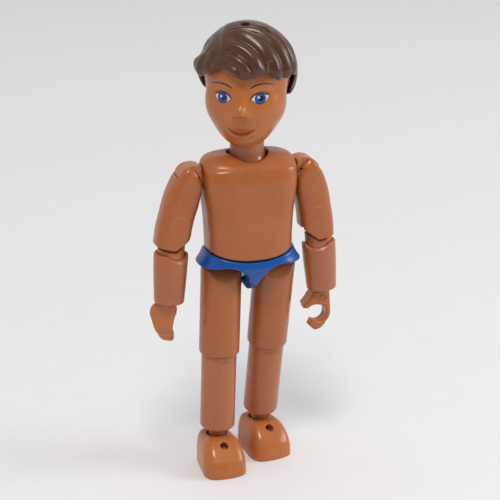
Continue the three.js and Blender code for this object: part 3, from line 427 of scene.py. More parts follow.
def new_group(name, inputs, outputs):
    group = bpy.data.node_groups.new(name, "ShaderNodeTree")
    for label, kind, default in inputs:
        socket = group.interface.new_socket(name=label, in_out="INPUT", socket_type=kind)
        socket.default_value = default
    for label, kind in outputs:
        group.interface.new_socket(name=label, in_out="OUTPUT", socket_type=kind)
    start = group.nodes.new("NodeGroupInput")
    end = group.nodes.new("NodeGroupOutput")
    return group, start, end


def put(tree, socket, source):
    """Sets a socket to a value, or links it to another node's socket."""
    if isinstance(source, bpy.types.NodeSocket):
        tree.links.new(source, socket)
    else:
        socket.default_value = source


def add_node(tree, kind, sockets=(), **values):
    """A node with its values, and its sockets given as pairs of a name and what goes in."""
    node = tree.nodes.new(kind)
    for key, value in values.items():
        setattr(node, key, value)
    for label, source in sockets:
        put(tree, node.inputs[label], source)
    return node


def mix_colour(tree, factor, first, second):
    """A mix of two colours. The mix node's colour sockets are numbers 6, 7 and 2."""
    sockets = [(0, factor), (6, first), (7, second)]
    return add_node(tree, "ShaderNodeMix", sockets, data_type="RGBA").outputs[2]


def coordinates(tree, kind="Object"):
    return tree.nodes.new("ShaderNodeTexCoord").outputs[kind]


def noise(tree, place, scale, detail=2.0):
    sockets = [("Vector", place), ("Scale", scale), ("Detail", detail)]
    return add_node(tree, "ShaderNodeTexNoise", sockets).outputs["Fac"]


def calculated(tree, operation, *sources):
    return add_node(tree, "ShaderNodeMath", enumerate(sources), operation=operation).outputs[0]


def remapped(tree, value, start, end, low=0.0, high=1.0, kind="LINEAR"):
    """A value's range between a start and an end, stretched between low and high."""
    sockets = [("Value", value), ("From Min", start), ("From Max", end), ("To Min", low), ("To Max", high)]
    return add_node(tree, "ShaderNodeMapRange", sockets, interpolation_type=kind).outputs[0]


def toned(tree, shade, value):
    return add_node(tree, "ShaderNodeHueSaturation", [("Value", value), ("Color", shade)]).outputs[0]


def moulding_tone():
    """Group: the slow drift of tone in moulded plastic."""
    group, start, end = new_group(
        "moulding_tone",
        [("Base", "NodeSocketColor", (0.5, 0.5, 0.5, 1)), ("Drift", "NodeSocketFloat", 0.1)],
        [("Color", "NodeSocketColor")],
    )
    place = coordinates(group)
    grain = calculated(group, "ADD", noise(group, place, 160.0), noise(group, place, 900.0, 3.0))
    drift = remapped(group, grain, 0.6, 1.4, -1.0, 1.0)
    value = calculated(group, "MULTIPLY_ADD", drift, start.outputs["Drift"], 1.0)
    group.links.new(toned(group, start.outputs["Base"], value), end.inputs["Color"])
    return group


def fine_dust():
    """Group: a mask of small dust specks."""
    group, start, end = new_group(
        "fine_dust", [("Amount", "NodeSocketFloat", 0.3)], [("Mask", "NodeSocketFloat")]
    )
    place = coordinates(group)
    specks = add_node(group, "ShaderNodeTexVoronoi", [("Vector", place), ("Scale", 420.0)])
    near = remapped(group, specks.outputs["Distance"], 0.05, 0.025)
    some = remapped(group, noise(group, place, 210.0), 0.5, 0.62)
    specked = calculated(group, "MULTIPLY", near, some)
    mask = calculated(group, "MULTIPLY", specked, start.outputs["Amount"])
    group.links.new(mask, end.inputs["Mask"])
    return group


def moulded_skin():
    """Group: the fine unevenness of a moulded surface, as height and roughness."""
    group, start, end = new_group(
        "moulded_skin",
        [("Roughness", "NodeSocketFloat", 0.35), ("Spread", "NodeSocketFloat", 0.08)],
        [("Height", "NodeSocketFloat"), ("Roughness", "NodeSocketFloat")],
    )
    place = coordinates(group)
    wear_and_sheen = remapped(group, noise(group, place, 300.0, 4.0), 0.3, 0.7, -1.0, 1.0)
    worn = calculated(group, "MULTIPLY_ADD", wear_and_sheen, start.outputs["Spread"], start.outputs["Roughness"])
    group.links.new(noise(group, place, 2800.0), end.inputs["Height"])
    group.links.new(worn, end.inputs["Roughness"])
    return group


def use_group(tree, maker, **values):
    """A group's node, with the group made at its first use."""
    node = tree.nodes.new("ShaderNodeGroup")
    node.node_tree = bpy.data.node_groups.get(maker.__name__) or maker()
    for label, value in values.items():
        node.inputs[label].default_value = value
    return node


DUST_COLOUR = (0.8, 0.74, 0.68, 1)
PEEL_DEPTH = 0.0001


def plastic(name, base, rough, drift=0.07, peel=0.12, tint=None):
    """A moulded plastic with tone drift, dust and a fine uneven surface."""
    made = bpy.data.materials.get(name)
    if made:
        return made
    made = bpy.data.materials.new(name)
    made.use_nodes = True
    tree = made.node_tree
    shader = tree.nodes["Principled BSDF"]
    shade = use_group(tree, moulding_tone, Base=base, Drift=drift).outputs["Color"]
    if tint:
        mask = add_node(tree, "ShaderNodeAttribute", attribute_name="tint")
        shade = mix_colour(tree, mask.outputs["Fac"], shade, tint)
    dust = use_group(tree, fine_dust, Amount=settings().colours.dust)
    shade = mix_colour(tree, dust.outputs["Mask"], shade, DUST_COLOUR)
    surface = use_group(tree, moulded_skin, Roughness=rough, Spread=rough * 0.2)
    height = [("Height", surface.outputs["Height"]), ("Strength", peel), ("Distance", PEEL_DEPTH)]
    bump = add_node(tree, "ShaderNodeBump", height)
    tree.links.new(shade, shader.inputs["Base Color"])
    tree.links.new(surface.outputs["Roughness"], shader.inputs["Roughness"])
    tree.links.new(bump.outputs["Normal"], shader.inputs["Normal"])
    shader.inputs["IOR"].default_value = 1.5
    return made


def skin(slot):
    """The plain plastic of a slot."""
    colours = settings().colours
    return plastic(f"{slot}_plastic", getattr(colours, slot), colours.gloss)


# Torso, in the frame of the body: upright, with its middle under the neck joint.

COLLAR = JOINTS["neck_turn"]["pos_m"][2] * 1000
TORSO_HEIGHT = 23.4
HEM = COLLAR - TORSO_HEIGHT
SHOULDER = COLLAR - 5.5
HIP = JOINTS["left_hip_swing"]["pos_m"][2] * 1000
HIP_OUT = 6.15
THIGH_RADIUS = 4.66
HEM_RADIUS = 27
NECK_BORE_BOTTOM = HEM + 10
COLLAR_DEPTH = 3.2
TORSO_WALL = 1.4
NECK_BORE, NECK_FLANGE_ROOM, COLLAR_BORE = 4.1, 4.85, 4.75
PEG_BORE, PEG_FLANGE_ROOM = 2.1, 3.1
PEG_FLANGE_IN, PEG_FLANGE_OUT = 6.1, 7.7
TORSO_RINGS = [
    (HEM + rise * TORSO_HEIGHT, 0, half, front, rear, square)
    for rise, half, front, rear, square in (
        (-0.06, 9.85, 7.2, 6.3, 2.8),
        (0.16, 9.75, 7.3, 6.3, 2.9),
        (0.4, 9.95, 7.1, 6.3, 3.2),
        (0.6, 10.4, 7.2, 6.3, 3.6),
        (0.76, 10.6, 7.0, 6.3, 4.0),
        (0.86, 10.6, 6.4, 6.0, 4.0),
        (0.905, 10.5, 5.7, 5.6, 3.0),
        (0.955, 9.8, 4.3, 5.1, 3.0),
        (0.985, 8.2, 3.2, 4.4, 3.0),
        (1.0, 5.8, 2.5, 3.6, 3.0),
    )
]


def hem_arc(x, z, drop):
    """Inside above the arched hem line."""
    return disc(x, z, HEM_RADIUS, (0, HEM - drop + HEM_RADIUS))


def torso_field(x, y, z):
    skin_form = both(lofted(x, y, z, TORSO_RINGS), z - COLLAR, 0.5)
    body = both(skin_form, hem_arc(x, z, 0), 0.35)
    body = cut(body, EDGE, skin_form + TORSO_WALL, z - HEM - 0.5 * TORSO_HEIGHT)
    body = cut(body, EDGE, disc(x, y, NECK_BORE), NECK_BORE_BOTTOM - z)
    body = cut(body, EDGE, disc(x, y, NECK_FLANGE_ROOM), span(z, SHOULDER - 2.1, SHOULDER - 0.1))
    body = cut(body, 0.4, disc(x, y, COLLAR_BORE), COLLAR - COLLAR_DEPTH - z)
    out = np.abs(x)
    body = cut(body, EDGE, disc(y, z, PEG_BORE, (0, SHOULDER)), PEG_FLANGE_IN - out)
    flange_room = span(out, PEG_FLANGE_IN, PEG_FLANGE_OUT)
    return cut(body, EDGE, disc(y, z, PEG_FLANGE_ROOM, (0, SHOULDER)), flange_room)


def parted(points, faces, facing):
    """The front or rear half of a meshed form, cut at y = 0."""
    work = bmesh.new()
    corners = [work.verts.new(point) for point in points]
    for face in faces:
        work.faces.new([corners[i] for i in face])
    bmesh.ops.bisect_plane(
        work,
        geom=work.verts[:] + work.edges[:] + work.faces[:],
        dist=1e-4,
        plane_co=(0, 0, 0),
        plane_no=(0, -facing, 0),
        clear_outer=True,
    )
    work.verts.index_update()
    cut_points = np.array([vert.co for vert in work.verts])
    cut_faces = [[vert.index for vert in face.verts] for face in work.faces]
    work.free()
    return cut_points, cut_faces


class DOLL_OT_torso(bpy.types.Operator):
    """Mould the two torso shells"""

    bl_idname = "doll.torso"
    bl_label = "Torso shells"

    def execute(self, context):
        low, high = (-11, -8, HEM - 0.5), (11, 7, COLLAR)
        whole = meshed(torso_field, low, high, coarse=1.2)
        for node, facing in (("torso_front", -1), ("torso_rear", 1)):
            add_piece(node, parted(*whole, facing), body_place(), "torso", "skin")
        return {"FINISHED"}


# Briefs, in the frame of the body. Rows of the rings: height, half width, front and rear.

STRAP_BOTTOM = HIP - 1.5
BRIEFS_WALL, STRAP_WALL, STRAP_HALF = 0.9, 0.55, 1.6
THIGH_ROOM = THIGH_RADIUS + 0.5
SEAT, SEAT_DROP = 5.42, 3
BRIEFS_RINGS = [
    (height, 0, half, front, rear, 2.6)
    for height, half, front, rear in (
        (STRAP_BOTTOM, 2.0, 1.0, 1.0),
        (STRAP_BOTTOM + 0.7, 6.0, 3.63, 3.4),
        (STRAP_BOTTOM + 1.9, 9.0, 5.53, 5.18),
        (STRAP_BOTTOM + 3.6, 11.0, 6.95, 6.51),
        (HIP + THIGH_RADIUS, 12.0, 7.9, 7.4),
        (HEM, 10.9, 7.5, 6.9),
        (HEM + 3, 9.55, 7.0, 6.1),
    )
]


def leg_opening(out, z, radius, middle):
    """The room of a thigh in the briefs: a circle about a height, open at its side and below."""
    ring = disc(out, z, radius, (HIP_OUT, middle))
    side = np.maximum(HIP_OUT - out, z - middle - THIGH_ROOM)
    below = np.maximum(1.0 - out, z - middle + 1.2)
    return either(either(ring, side, 0.6), below, 0.6)


def briefs_field(x, y, z):
    shell = both(lofted(x, y, z, BRIEFS_RINGS), STRAP_BOTTOM - z, 0.4)
    out = np.abs(x)
    body = cut(shell, EDGE, shell + BRIEFS_WALL, STRAP_BOTTOM + STRAP_WALL - z, STRAP_HALF - out)
    body = both(body, -hem_arc(x, z, 0.35), SOFT_EDGE)
    before_seat = np.maximum(leg_opening(out, z, THIGH_ROOM + 0.3 * np.clip(-y - 3, 0, 1), HIP), y - SEAT)
    return cut(body, 0.35, np.minimum(before_seat, leg_opening(out, z, THIGH_ROOM, HIP - SEAT_DROP)))


class DOLL_OT_briefs(bpy.types.Operator):
    """Mould the briefs"""

    bl_idname = "doll.briefs"
    bl_label = "Briefs"

    def execute(self, context):
        colours = settings().colours
        shape = meshed(briefs_field, (-12.2, -8.2, STRAP_BOTTOM - 0.3), (12.2, 7.8, HEM + 3.5))
        blue = plastic("briefs_plastic", colours.briefs, 0.24, drift=0.05, peel=0.08)
        add_piece("briefs", shape, body_place(), "torso", "briefs", blue)
        return {"FINISHED"}


# Head and neck post, in the frame of the neck joint. Forms of the head: middle and radii.

CHIN = 2.4
HEAD_HEIGHT = 24.6
HEAD_MIDDLE = CHIN + 0.49 * HEAD_HEIGHT
SKULL = ((0, 1, CHIN + 0.62 * HEAD_HEIGHT), (9.4, 9.7, 0.38 * HEAD_HEIGHT))
CHEEKS = ((0, -1.4, CHIN + 0.38 * HEAD_HEIGHT), (8.85, 8, 0.34 * HEAD_HEIGHT))
JAW = ((0, -2.4, CHIN + 0.225 * HEAD_HEIGHT - 0.4), (5.6, 6, 0.225 * HEAD_HEIGHT + 0.4))
HAIR = ((0, 0.9, CHIN + 0.615 * HEAD_HEIGHT), (11.15, 11.5, 0.385 * HEAD_HEIGHT + 1.2))
MOUTH_HEIGHT, MOUTH_BEND = 3.8, 0.078
NECK_RADIUS, NECK_FLANGE, NECK_PLUG = 3.78, 4.55, 3.0
PLUG_BORE, NECK_RECESS = 3.25, 4.05
CROWN_HOLE, CROWN_HOLE_RADIUS = (0, -2), 1.0


def exit_of(form, rx, ry, rz):
    """How far a ray from the middle of the head runs before it leaves an ellipsoid."""
    centre, radii = form
    place = [(start - c) / r for start, c, r in zip((0, 0, HEAD_MIDDLE), centre, radii)]
    px, py, pz = rx / radii[0], ry / radii[1], rz / radii[2]
    pace = px * px + py * py + pz * pz
    half = place[0] * px + place[1] * py + place[2] * pz
    inside = half * half - pace * (sum(value * value for value in place) - 1)
    return (np.sqrt(np.maximum(inside, 0)) - half) / pace


def swell(a, b, reach):
    """The farther of two distances, with a soft passage between them."""
    share = np.maximum(reach - np.abs(a - b), 0) / reach
    return np.maximum(a, b) + share * share * reach / 4


def over_smile(x, height):
    """Height over the curved line between the lips."""
    return height - MOUTH_HEIGHT - MOUTH_BEND * x * x


def face_relief(x, z):
    """How far the features stand out of the plain face, at a place across and up it."""
    nose = millimetres("nose")
    lips = millimetres("lips")
    side = np.abs(x)
    height = z - CHIN
    # Place across and up, half width, half height, and how far the feature stands out.
    features = (
        (0, 8.75, 1.0, 1.1, nose * 0.62),
        (0, 9.1, 1.5, 1.8, nose * 0.38),
        (1.3, 8.0, 0.75, 0.7, nose * 0.3),
        (0, 11.3, 0.9, 1.8, nose * 0.24),
        (0, 1.5, 2.2, 1.1, 0.45),
        (4.1, 11.0, 2.5, 1.6, -0.4),
        (4.4, 14.3, 2.8, 1.0, 0.15),
        (5.2, 6.6, 2.4, 2.2, 0.2),
    )
    total = 0
    for middle, up, wide, tall, out in features:
        total = total + out * np.exp(-(((side - middle) / wide) ** 2) - ((height - up) / tall) ** 2)
    smile = over_smile(x, height)
    across = np.exp(-((x / 2.6) ** 4))
    ridges = np.exp(-(((smile - 0.5) / 0.42) ** 2)) + 1.15 * np.exp(-(((smile + 0.65) / 0.6) ** 2))
    slit = np.exp(-((smile / 0.24) ** 2)) * np.exp(-((x / 3.0) ** 6))
    return total + lips * (ridges * across - 0.6 * slit)


def head_reach(rx, ry, rz):
    """How far the head reaches from its middle in a direction."""
    skull, cheeks, jaw = (exit_of(form, rx, ry, rz) for form in (SKULL, CHEEKS, JAW))
    plain = swell(swell(skull, cheeks, 1.2), jaw, 3)
    facing = np.clip(-2 * ry, 0, 1)
    return plain + facing * face_relief(rx * plain, HEAD_MIDDLE + rz * plain)


def rays(x, y, z):
    """Distances and directions of places from the middle of the head."""
    reach = np.sqrt(x * x + y * y + (z - HEAD_MIDDLE) ** 2) + 1e-6
    return reach, x / reach, y / reach, (z - HEAD_MIDDLE) / reach


def crown_hole(x, y, z, depth):
    """The hole in the crown, down to a depth under the top of the skull."""
    return np.maximum(disc(x, y, CROWN_HOLE_RADIUS, CROWN_HOLE), CHIN + HEAD_HEIGHT - depth - z)


def head_field(x, y, z):
    reach, rx, ry, rz = rays(x, y, z)
    body = reach - head_reach(rx, ry, rz)
    body = cut(body, EDGE, disc(x, y, PLUG_BORE), z - CHIN - 5.25)
    body = cut(body, 0.35, disc(x, y, NECK_RECESS), z - CHIN - 1.6)
    return cut(body, EDGE, crown_hole(x, y, z, 2))


def lip_tint(points):
    """How red each point of the head is, from 0 to 1."""
    x, height = points[:, 0], points[:, 2] - CHIN
    smile = over_smile(x, height)
    tall = np.clip(1 - (np.abs(x) / 3.05) ** 2, 0, 1)
    upper = np.clip((0.15 + 0.85 * tall - smile) / 0.3, 0, 1)
    lower = np.clip((smile + 0.1 + 1.15 * tall) / 0.35, 0, 1)
    line = 0.8 * np.exp(-((smile / 0.2) ** 2)) * np.clip((3.2 - np.abs(x)) / 0.5, 0, 1)
    return np.clip(0.6 * upper * lower * tall**0.3 + line, 0, 1) * (points[:, 1] < -4)


def neck_field(x, y, z):
    across = disc(x, y, 0)
    body = both(across - NECK_RADIUS, span(z, -6, CHIN + 1.3), EDGE)
    bell = eased(z, (-3, -1.6, -0.4, 0.4), (4.45, 4.3, 3.85, 3.6))
    body = either(body, both(across - bell, span(z, -3.05, 0.5), SOFT_EDGE), SOFT_EDGE)
    flange = both(across - NECK_FLANGE, span(z, -7.3, -5.9), EDGE)
    plug = both(across - NECK_PLUG, span(z, 0, CHIN + 5), SOFT_EDGE)
    return either(either(body, flange, EDGE), plug, EDGE)


class DOLL_OT_head(bpy.types.Operator):
    """Mould the head and the neck post"""

    bl_idname = "doll.head"
    bl_label = "Head and neck"

    def execute(self, context):
        colours = settings().colours
        low, high = (-9.6, -11.6, CHIN - 0.6), (9.6, 11, CHIN + HEAD_HEIGHT + 0.4)
        points, faces = meshed(head_field, low, high)
        face = plastic("face", colours.face, colours.gloss * 0.8, tint=colours.lip)
        head = add_piece("head", (points, faces), neck_place(), "head", "skin", face)
        set_tint(head, lip_tint(points))
        shape = meshed(neck_field, (-4.6, -4.6, -7.4), (4.6, 4.6, CHIN + 5.2))
        add_piece("neck_post", shape, neck_place(), "head", "skin_pink")
        return {"FINISHED"}


# Face paint: thin coats that lie on the head, given by x and by height over the collar.

LASH = ((2.05, 13.43), (2.65, 14.2), (3.3, 14.52), (4.15, 14.62), (5.12, 14.36), (6.06, 14.0))
LOWER_LID = (
    (2.05, 13.43), (2.4, 13.13), (3.2, 12.7), (3.9, 12.45), (4.4, 12.47), (5.26, 12.97), (5.9, 13.95),
)
CREASE = ((3.2, 14.76), (4.2, 14.94), (5.25, 14.74), (6.0, 14.35))
BROW = ((2.03, 15.75), (2.9, 16.25), (3.75, 16.52), (4.7, 16.65), (5.8, 16.5), (6.75, 16.07))
IRIS = (4.04, 13.47)
IRIS_RADIUS = 1.13
PUPIL_RADIUS = 0.62
GLINT_RADIUS = 0.26


def lid(line, x):
    """Height of a painted line over places x."""
    places, heights = np.array(line).T
    return eased(x, places, heights)


def strip_faces(columns, rows):
    """Faces between columns of points, each with so many rows."""
    corners = [i * rows + j for i in range(columns - 1) for j in range(rows - 1)]
    return [(a, a + rows, a + rows + 1, a + 1) for a in corners]


def painted_area(x, low, high, rows=7):
    """Places and faces of an area between two lines over rising x."""
    shares = np.linspace(0, 1, rows)
    places = np.repeat(x, rows)
    heights = (low[:, None] * (1 - shares) + high[:, None] * shares).ravel()
    return places, heights, strip_faces(len(x), rows)


def painted_disc(centre, radius, roof=None):
    """Places and faces of a round spot, cut off at a roof line where one is given."""
    x = centre[0] - radius * np.cos(np.linspace(0.02, math.pi - 0.02, 25))
    half = np.sqrt(np.maximum(radius**2 - (x - centre[0]) ** 2, 0))
    high = centre[1] + half
    if roof is not None:
        high = np.minimum(high, roof(x))
    return painted_area(x, np.minimum(centre[1] - half, high), high)


def painted_line(points, widths, steps=28):
    """Places and faces of a line through points of rising x, with a width at each."""
    points = np.array(points, float)
    run = np.concatenate([[0], np.cumsum(np.hypot(*np.diff(points, axis=0).T))])
    at = np.linspace(0, run[-1], steps)
    x, z, wide = (eased(at, run, values) for values in (*points.T, widths))
    ahead = np.stack([np.gradient(x), np.gradient(z)])
    ahead /= np.linalg.norm(ahead, axis=0)
    shares = np.array((-0.5, 0, 0.5))
    places = (x[:, None] - ahead[1][:, None] * wide[:, None] * shares).ravel()
    heights = (z[:, None] + ahead[0][:, None] * wide[:, None] * shares).ravel()
    return places, heights, strip_faces(steps, len(shares))


def face_y(x, z):
    """The y of the front of the head over places x and z, sought from a start near it."""
    start, nudge = -9.5, 0.01
    y = np.full(np.shape(x), start)
    for _ in range(12):
        value = head_field(x, y, z)
        slope = (head_field(x, y + nudge, z) - value) / nudge
        y = y + value / np.maximum(np.abs(slope), 0.3)
    return y


def paint(name, areas, coat, material):
    """One coat of paint on the head, made of several areas."""
    points, faces = [], []
    for places, heights, corners in areas:
        base = sum(len(part) for part in points)
        depth = face_y(places, heights) - coat
        points.append(np.stack([places, depth, heights], axis=1))
        faces += [tuple(base + corner for corner in face) for face in corners]
    piece = placed(name, np.concatenate(points), faces, neck_place(), material)
    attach(piece, "head")
    return piece, np.concatenate(points)


def on_both_eyes(area):
    """An area on the left half of the face and its mirror image on the right."""
    places, heights, faces = area
    return [area, (-places, heights, [face[::-1] for face in faces])]


class DOLL_OT_face(bpy.types.Operator):
    """Paint the eyes, lashes and brows"""

    bl_idname = "doll.face"
    bl_label = "Face paint"

    def execute(self, context):
        colours = settings().colours
        white = plastic("eye_white", colours.white, 0.35, drift=0.03)
        blue = plastic("iris", colours.iris, 0.3, drift=0.12, tint=colours.rim)
        ink = plastic("ink", colours.ink, 0.35, drift=0.1)
        x = np.linspace(LASH[0][0] + 0.02, LOWER_LID[-1][0], 40)
        upper = lid(LASH, x)
        eye = painted_area(x, np.minimum(lid(LOWER_LID, x), upper), upper)
        paint("eye_whites", on_both_eyes(eye), 0.02, white)
        ring = painted_disc(IRIS, IRIS_RADIUS, lambda at: lid(LASH, at))
        irises, points = paint("irises", on_both_eyes(ring), 0.035, blue)
        apart = np.hypot(np.abs(points[:, 0]) - IRIS[0], points[:, 2] - IRIS[1]) / IRIS_RADIUS
        set_tint(irises, 0.85 * np.clip((apart - 0.72) / 0.28, 0, 1))
        left = (IRIS[0] + 0.14, IRIS[1] + 0.07)
        right = (0.14 - IRIS[0], IRIS[1] + 0.07)
        paint("pupils", [painted_disc(eye, PUPIL_RADIUS) for eye in (left, right)], 0.05, ink)
        glints = [(side * IRIS[0] - 0.3, IRIS[1] + 0.3) for side in (1, -1)]
        paint("glints", [painted_disc(glint, GLINT_RADIUS) for glint in glints], 0.065, white)
        lash = painted_line(LASH, (0.2, 0.32, 0.32, 0.3, 0.26, 0.08))
        crease = painted_line(CREASE, (0.05, 0.12, 0.12, 0.05))
        under = painted_line(LOWER_LID, (0.14, 0.12, 0.06, 0.04, 0.05, 0.09, 0.1))
        paint("lashes", on_both_eyes(lash) + on_both_eyes(crease) + on_both_eyes(under), 0.055, ink)
        paint("brows", on_both_eyes(painted_line(BROW, (0.24, 0.36, 0.34, 0.28, 0.22, 0.08))), 0.02, ink)
        return {"FINISHED"}


# Hair, in the frame of the neck joint.

# The lower edge of the hair: turns from the front to the left, in degrees, and heights over the chin.
HAIRLINE = (
    (-180, 5.5), (-140, 6.6), (-108, 9), (-88, 14), (-62, 14.2), (-45, 14.9), (-25, 16.6), (5, 14.5),
    (35, 15.4), (54, 13.8), (70, 14.2), (88, 14), (108, 8.6), (142, 6.6), (180, 5.5),
)


def hairline(turned):
    """Height of the lower edge of the hair over the collar, at a turn from the front to the left."""
    turns, heights = np.array(HAIRLINE, float).T
    turns = np.radians(turns)
    index = np.clip(np.searchsorted(turns, turned) - 1, 0, len(turns) - 2)
    share = smooth(turned, turns[index], turns[index + 1])
    return CHIN + heights[index] * (1 - share) + heights[index + 1] * share


# Single locks and grooves: arcs between two directions from the middle of the head, their width and height.
LOCKS = (
    ((-0.53, -0.48, 0.7), (-0.52, -0.63, 0.57), 0.09, 0.5),
    ((-0.44, -0.6, 0.67), (-0.62, -0.66, 0.42), 0.07, -0.6),
    ((-0.6, -0.3, 0.74), (-0.87, 0.1, 0.49), 0.12, -1.3),
    ((-0.9, 0.05, 0.42), (-0.78, -0.5, 0.38), 0.27, 1.2),
    ((0.5, -0.64, 0.58), (0.6, -0.74, 0.3), 0.07, -0.9),
    ((-0.7, 0.2, 0.69), (-0.92, 0.3, 0.25), 0.08, -0.6),
)

# Ridges that sweep round a pole at the forehead: angles of their crests from the pole, in degrees.
SWEEP_POLE = Vector((-0.254, -0.921, 0.296))
CRESTS = (9, 23, 35, 52, 61, 69, 77.5, 86.5, 96, 107, 119)


def swept_locks(place):
    """Ridges with round crests and sharp grooves that fan out from the parting over the left side."""
    pole = np.array(SWEEP_POLE.normalized())
    upward = np.array((0, 0, 1)) - pole[2] * pole
    upward /= np.linalg.norm(upward)
    apart = np.degrees(np.arccos(np.clip(place @ pole, -1, 1)))
    round_it = np.degrees(np.arctan2(place @ np.cross(upward, pole), place @ upward))
    fan = 1 + 1.1 * np.clip((round_it - 10) / 50, -0.4, 1.6)
    ridge = np.interp(np.where(apart > 48, 48 + (apart - 48) / fan, apart), CRESTS, range(len(CRESTS)))
    off = 2 * np.abs(ridge - np.round(ridge))
    profile = 0.75 - 1.75 * off**1.7
    turned = np.degrees(np.arctan2(place[..., 0], -place[..., 1]))
    reach = exit_of(HAIR, *np.moveaxis(place, -1, 0))
    over_edge = HEAD_MIDDLE + place[..., 2] * reach - hairline(np.radians(turned))
    crown = np.degrees(np.arccos(np.clip(place[..., 2], -1, 1)))
    mask = smooth(round_it, -14, 6) * smooth(-round_it, -150, -110) * smooth(-turned, -95, -65)
    mask = mask * smooth(over_edge + 2.4 * smooth(turned, 34, 50), 0.8, 3.6) * smooth(crown, 10, 22)
    step = 0.55 * smooth(round_it, -24, -16) * smooth(apart, 24, 34)
    step = step * smooth(-apart, -80, -64) * smooth(-round_it, -30, 4)
    return 0.8 * mask * profile + step


def back_locks():
    """Grooves that fall evenly from the crown down the back of the head."""
    made = []
    for count, turned in enumerate(np.radians(np.linspace(78, 290, 15))):
        top = math.radians(26 + 14 * (count % 3))
        drift = turned + math.radians(9 if count % 2 else -5)
        start = (math.sin(top) * math.sin(turned), -math.sin(top) * math.cos(turned), math.cos(top))
        end = (0.97 * math.sin(drift), -0.97 * math.cos(drift), -0.18 - 0.1 * (count % 2))
        made.append((start, end, 0.06 + 0.012 * (count % 2), -0.6 - 0.25 * (count % 2)))
    return made


def stroke(place, start, end, wide):
    """How near directions lie to an arc between two directions: 1 on it, 0 away from it."""
    start = np.array(start) / np.linalg.norm(start)
    end = np.array(end) / np.linalg.norm(end)
    pole = np.cross(start, end)
    pole /= np.linalg.norm(pole)
    reach = math.acos(float(start @ end))
    along = np.arctan2(place @ np.cross(pole, start), place @ start) / reach
    fade = np.clip(along / 0.2 + 0.5, 0, 1) * np.clip((1 - along) / 0.3 + 0.3, 0, 1)
    fade = smooth(fade, 0, 1)
    return fade * np.exp(-((place @ pole / (wide * (0.45 + 0.55 * fade))) ** 2))


TABLE = (720, 360)


@functools.cache
def lock_table():
    """The relief of the locks over all turns and tilts of a direction, for a strongest lock of 1."""
    turned = np.linspace(-math.pi, math.pi, TABLE[0])[:, None]
    tilt = np.linspace(0, math.pi, TABLE[1])[None, :]
    aside, ahead = np.sin(tilt) * np.sin(turned), -np.sin(tilt) * np.cos(turned)
    place = np.stack(np.broadcast_arrays(aside, ahead, np.cos(tilt)), axis=-1)
    lines = (*LOCKS, *back_locks())
    single = sum(height * stroke(place, start, end, wide) for start, end, wide, height in lines)
    return single + swept_locks(place)


def locks(rx, ry, rz):
    """The relief of the locks in millimetres, read between the table's places."""
    table = lock_table()
    across = (np.arctan2(rx, -ry) / math.pi + 1) / 2 * (TABLE[0] - 1)
    down = np.arccos(np.clip(rz, -1, 1)) / math.pi * (TABLE[1] - 1)
    i = np.clip(across.astype(int), 0, TABLE[0] - 2)
    j = np.clip(down.astype(int), 0, TABLE[1] - 2)
    u, v = across - i, down - j
    near = table[i, j] * (1 - u) + table[i + 1, j] * u
    far = table[i, j + 1] * (1 - u) + table[i + 1, j + 1] * u
    return millimetres("locks") * (near * (1 - v) + far * v)


def hair_field(x, y, z):
    reach, rx, ry, rz = rays(x, y, z)
    inner = head_reach(rx, ry, rz) + 0.6
    outer = np.maximum(exit_of(HAIR, rx, ry, rz), inner + 0.9)
    outer = np.maximum(outer + locks(rx, ry, rz), inner + 0.6)
    shell = both(reach - outer, inner - reach, 0.4)
    edge = 0.8 * (hairline(np.arctan2(rx, -ry)) - z)
    body = both(shell, edge, 2.6)
    return cut(body, EDGE, crown_hole(x, y, z, 3))


class DOLL_OT_hair(bpy.types.Operator):
    """Mould the hair cap"""

    bl_idname = "doll.hair"
    bl_label = "Hair cap"

    def execute(self, context):
        colours = settings().colours
        shape = meshed(hair_field, (-12.6, -13, CHIN + 4), (12.6, 13.4, CHIN + HEAD_HEIGHT + 2))
        brown = plastic("hair_plastic", colours.hair, 0.24, drift=0.08, peel=0.08)
        add_piece("hair", shape, neck_place(), "head", "hair", brown)
        return {"FINISHED"}


# Arms, drawn in the left arm's frames at the shoulder pin and the elbow pin.

ELBOW = (2.6, -9.6)
SLOT = 2.35
SLEEVE_TOP = -7.2
SLEEVE_END = -18.8
ARM_TOP = 3.66
ARM_RINGS = [
    (height, middle, half, deep, deep, square)
    for height, middle, half, deep, square in (
        (-16.0, 3.5, 3.9, 3.8, 3.0),
        (-12.2, 3.3, 3.9, 3.9, 3.0),
        (-8.2, 2.75, 3.85, 3.9, 3.0),
        (-3.84, 1.75, 4.05, 3.9, 3.0),
        (0, 0.55, 3.8, 3.85, 3.6),
        (1.2, 0, 3.48, 3.75, 4.6),
        (2.09, 0, 3.03, 3.55, 5.0),
        (3.0, 0, 2.12, 3.1, 5.0),
        (3.5, 0, 1.1, 2.6, 5.0),
        (ARM_TOP, 0, 0.2, 2.35, 5.0),
    )
]
EAR_TIP = (3.2, -15.6)
EAR_GAP = 0.6
EAR_SLOPE = math.radians(36)
PIN_HOLE, LINK_HOLE = 1.43, 1.45
SHOULDER_DISC, SHOULDER_DISC_ROOM, SHOULDER_LINK_HALF = 3.56, 3.7, 2.31
PEG_RADIUS, PEG_FLANGE, PEG_END = 1.8, 2.8, -6.2
ELBOW_EYE, ELBOW_LINK_HALF = 2.5, 2.05
SLEEVE_OUT = 1
BARREL_RADIUS, BARREL_ROOM, BARREL_END = 3.05, 3.13, -11.2
WRIST_BORE = 1.9
FAR = 60
LIFT = math.radians(37)
TORSO_ROOM = 1.7


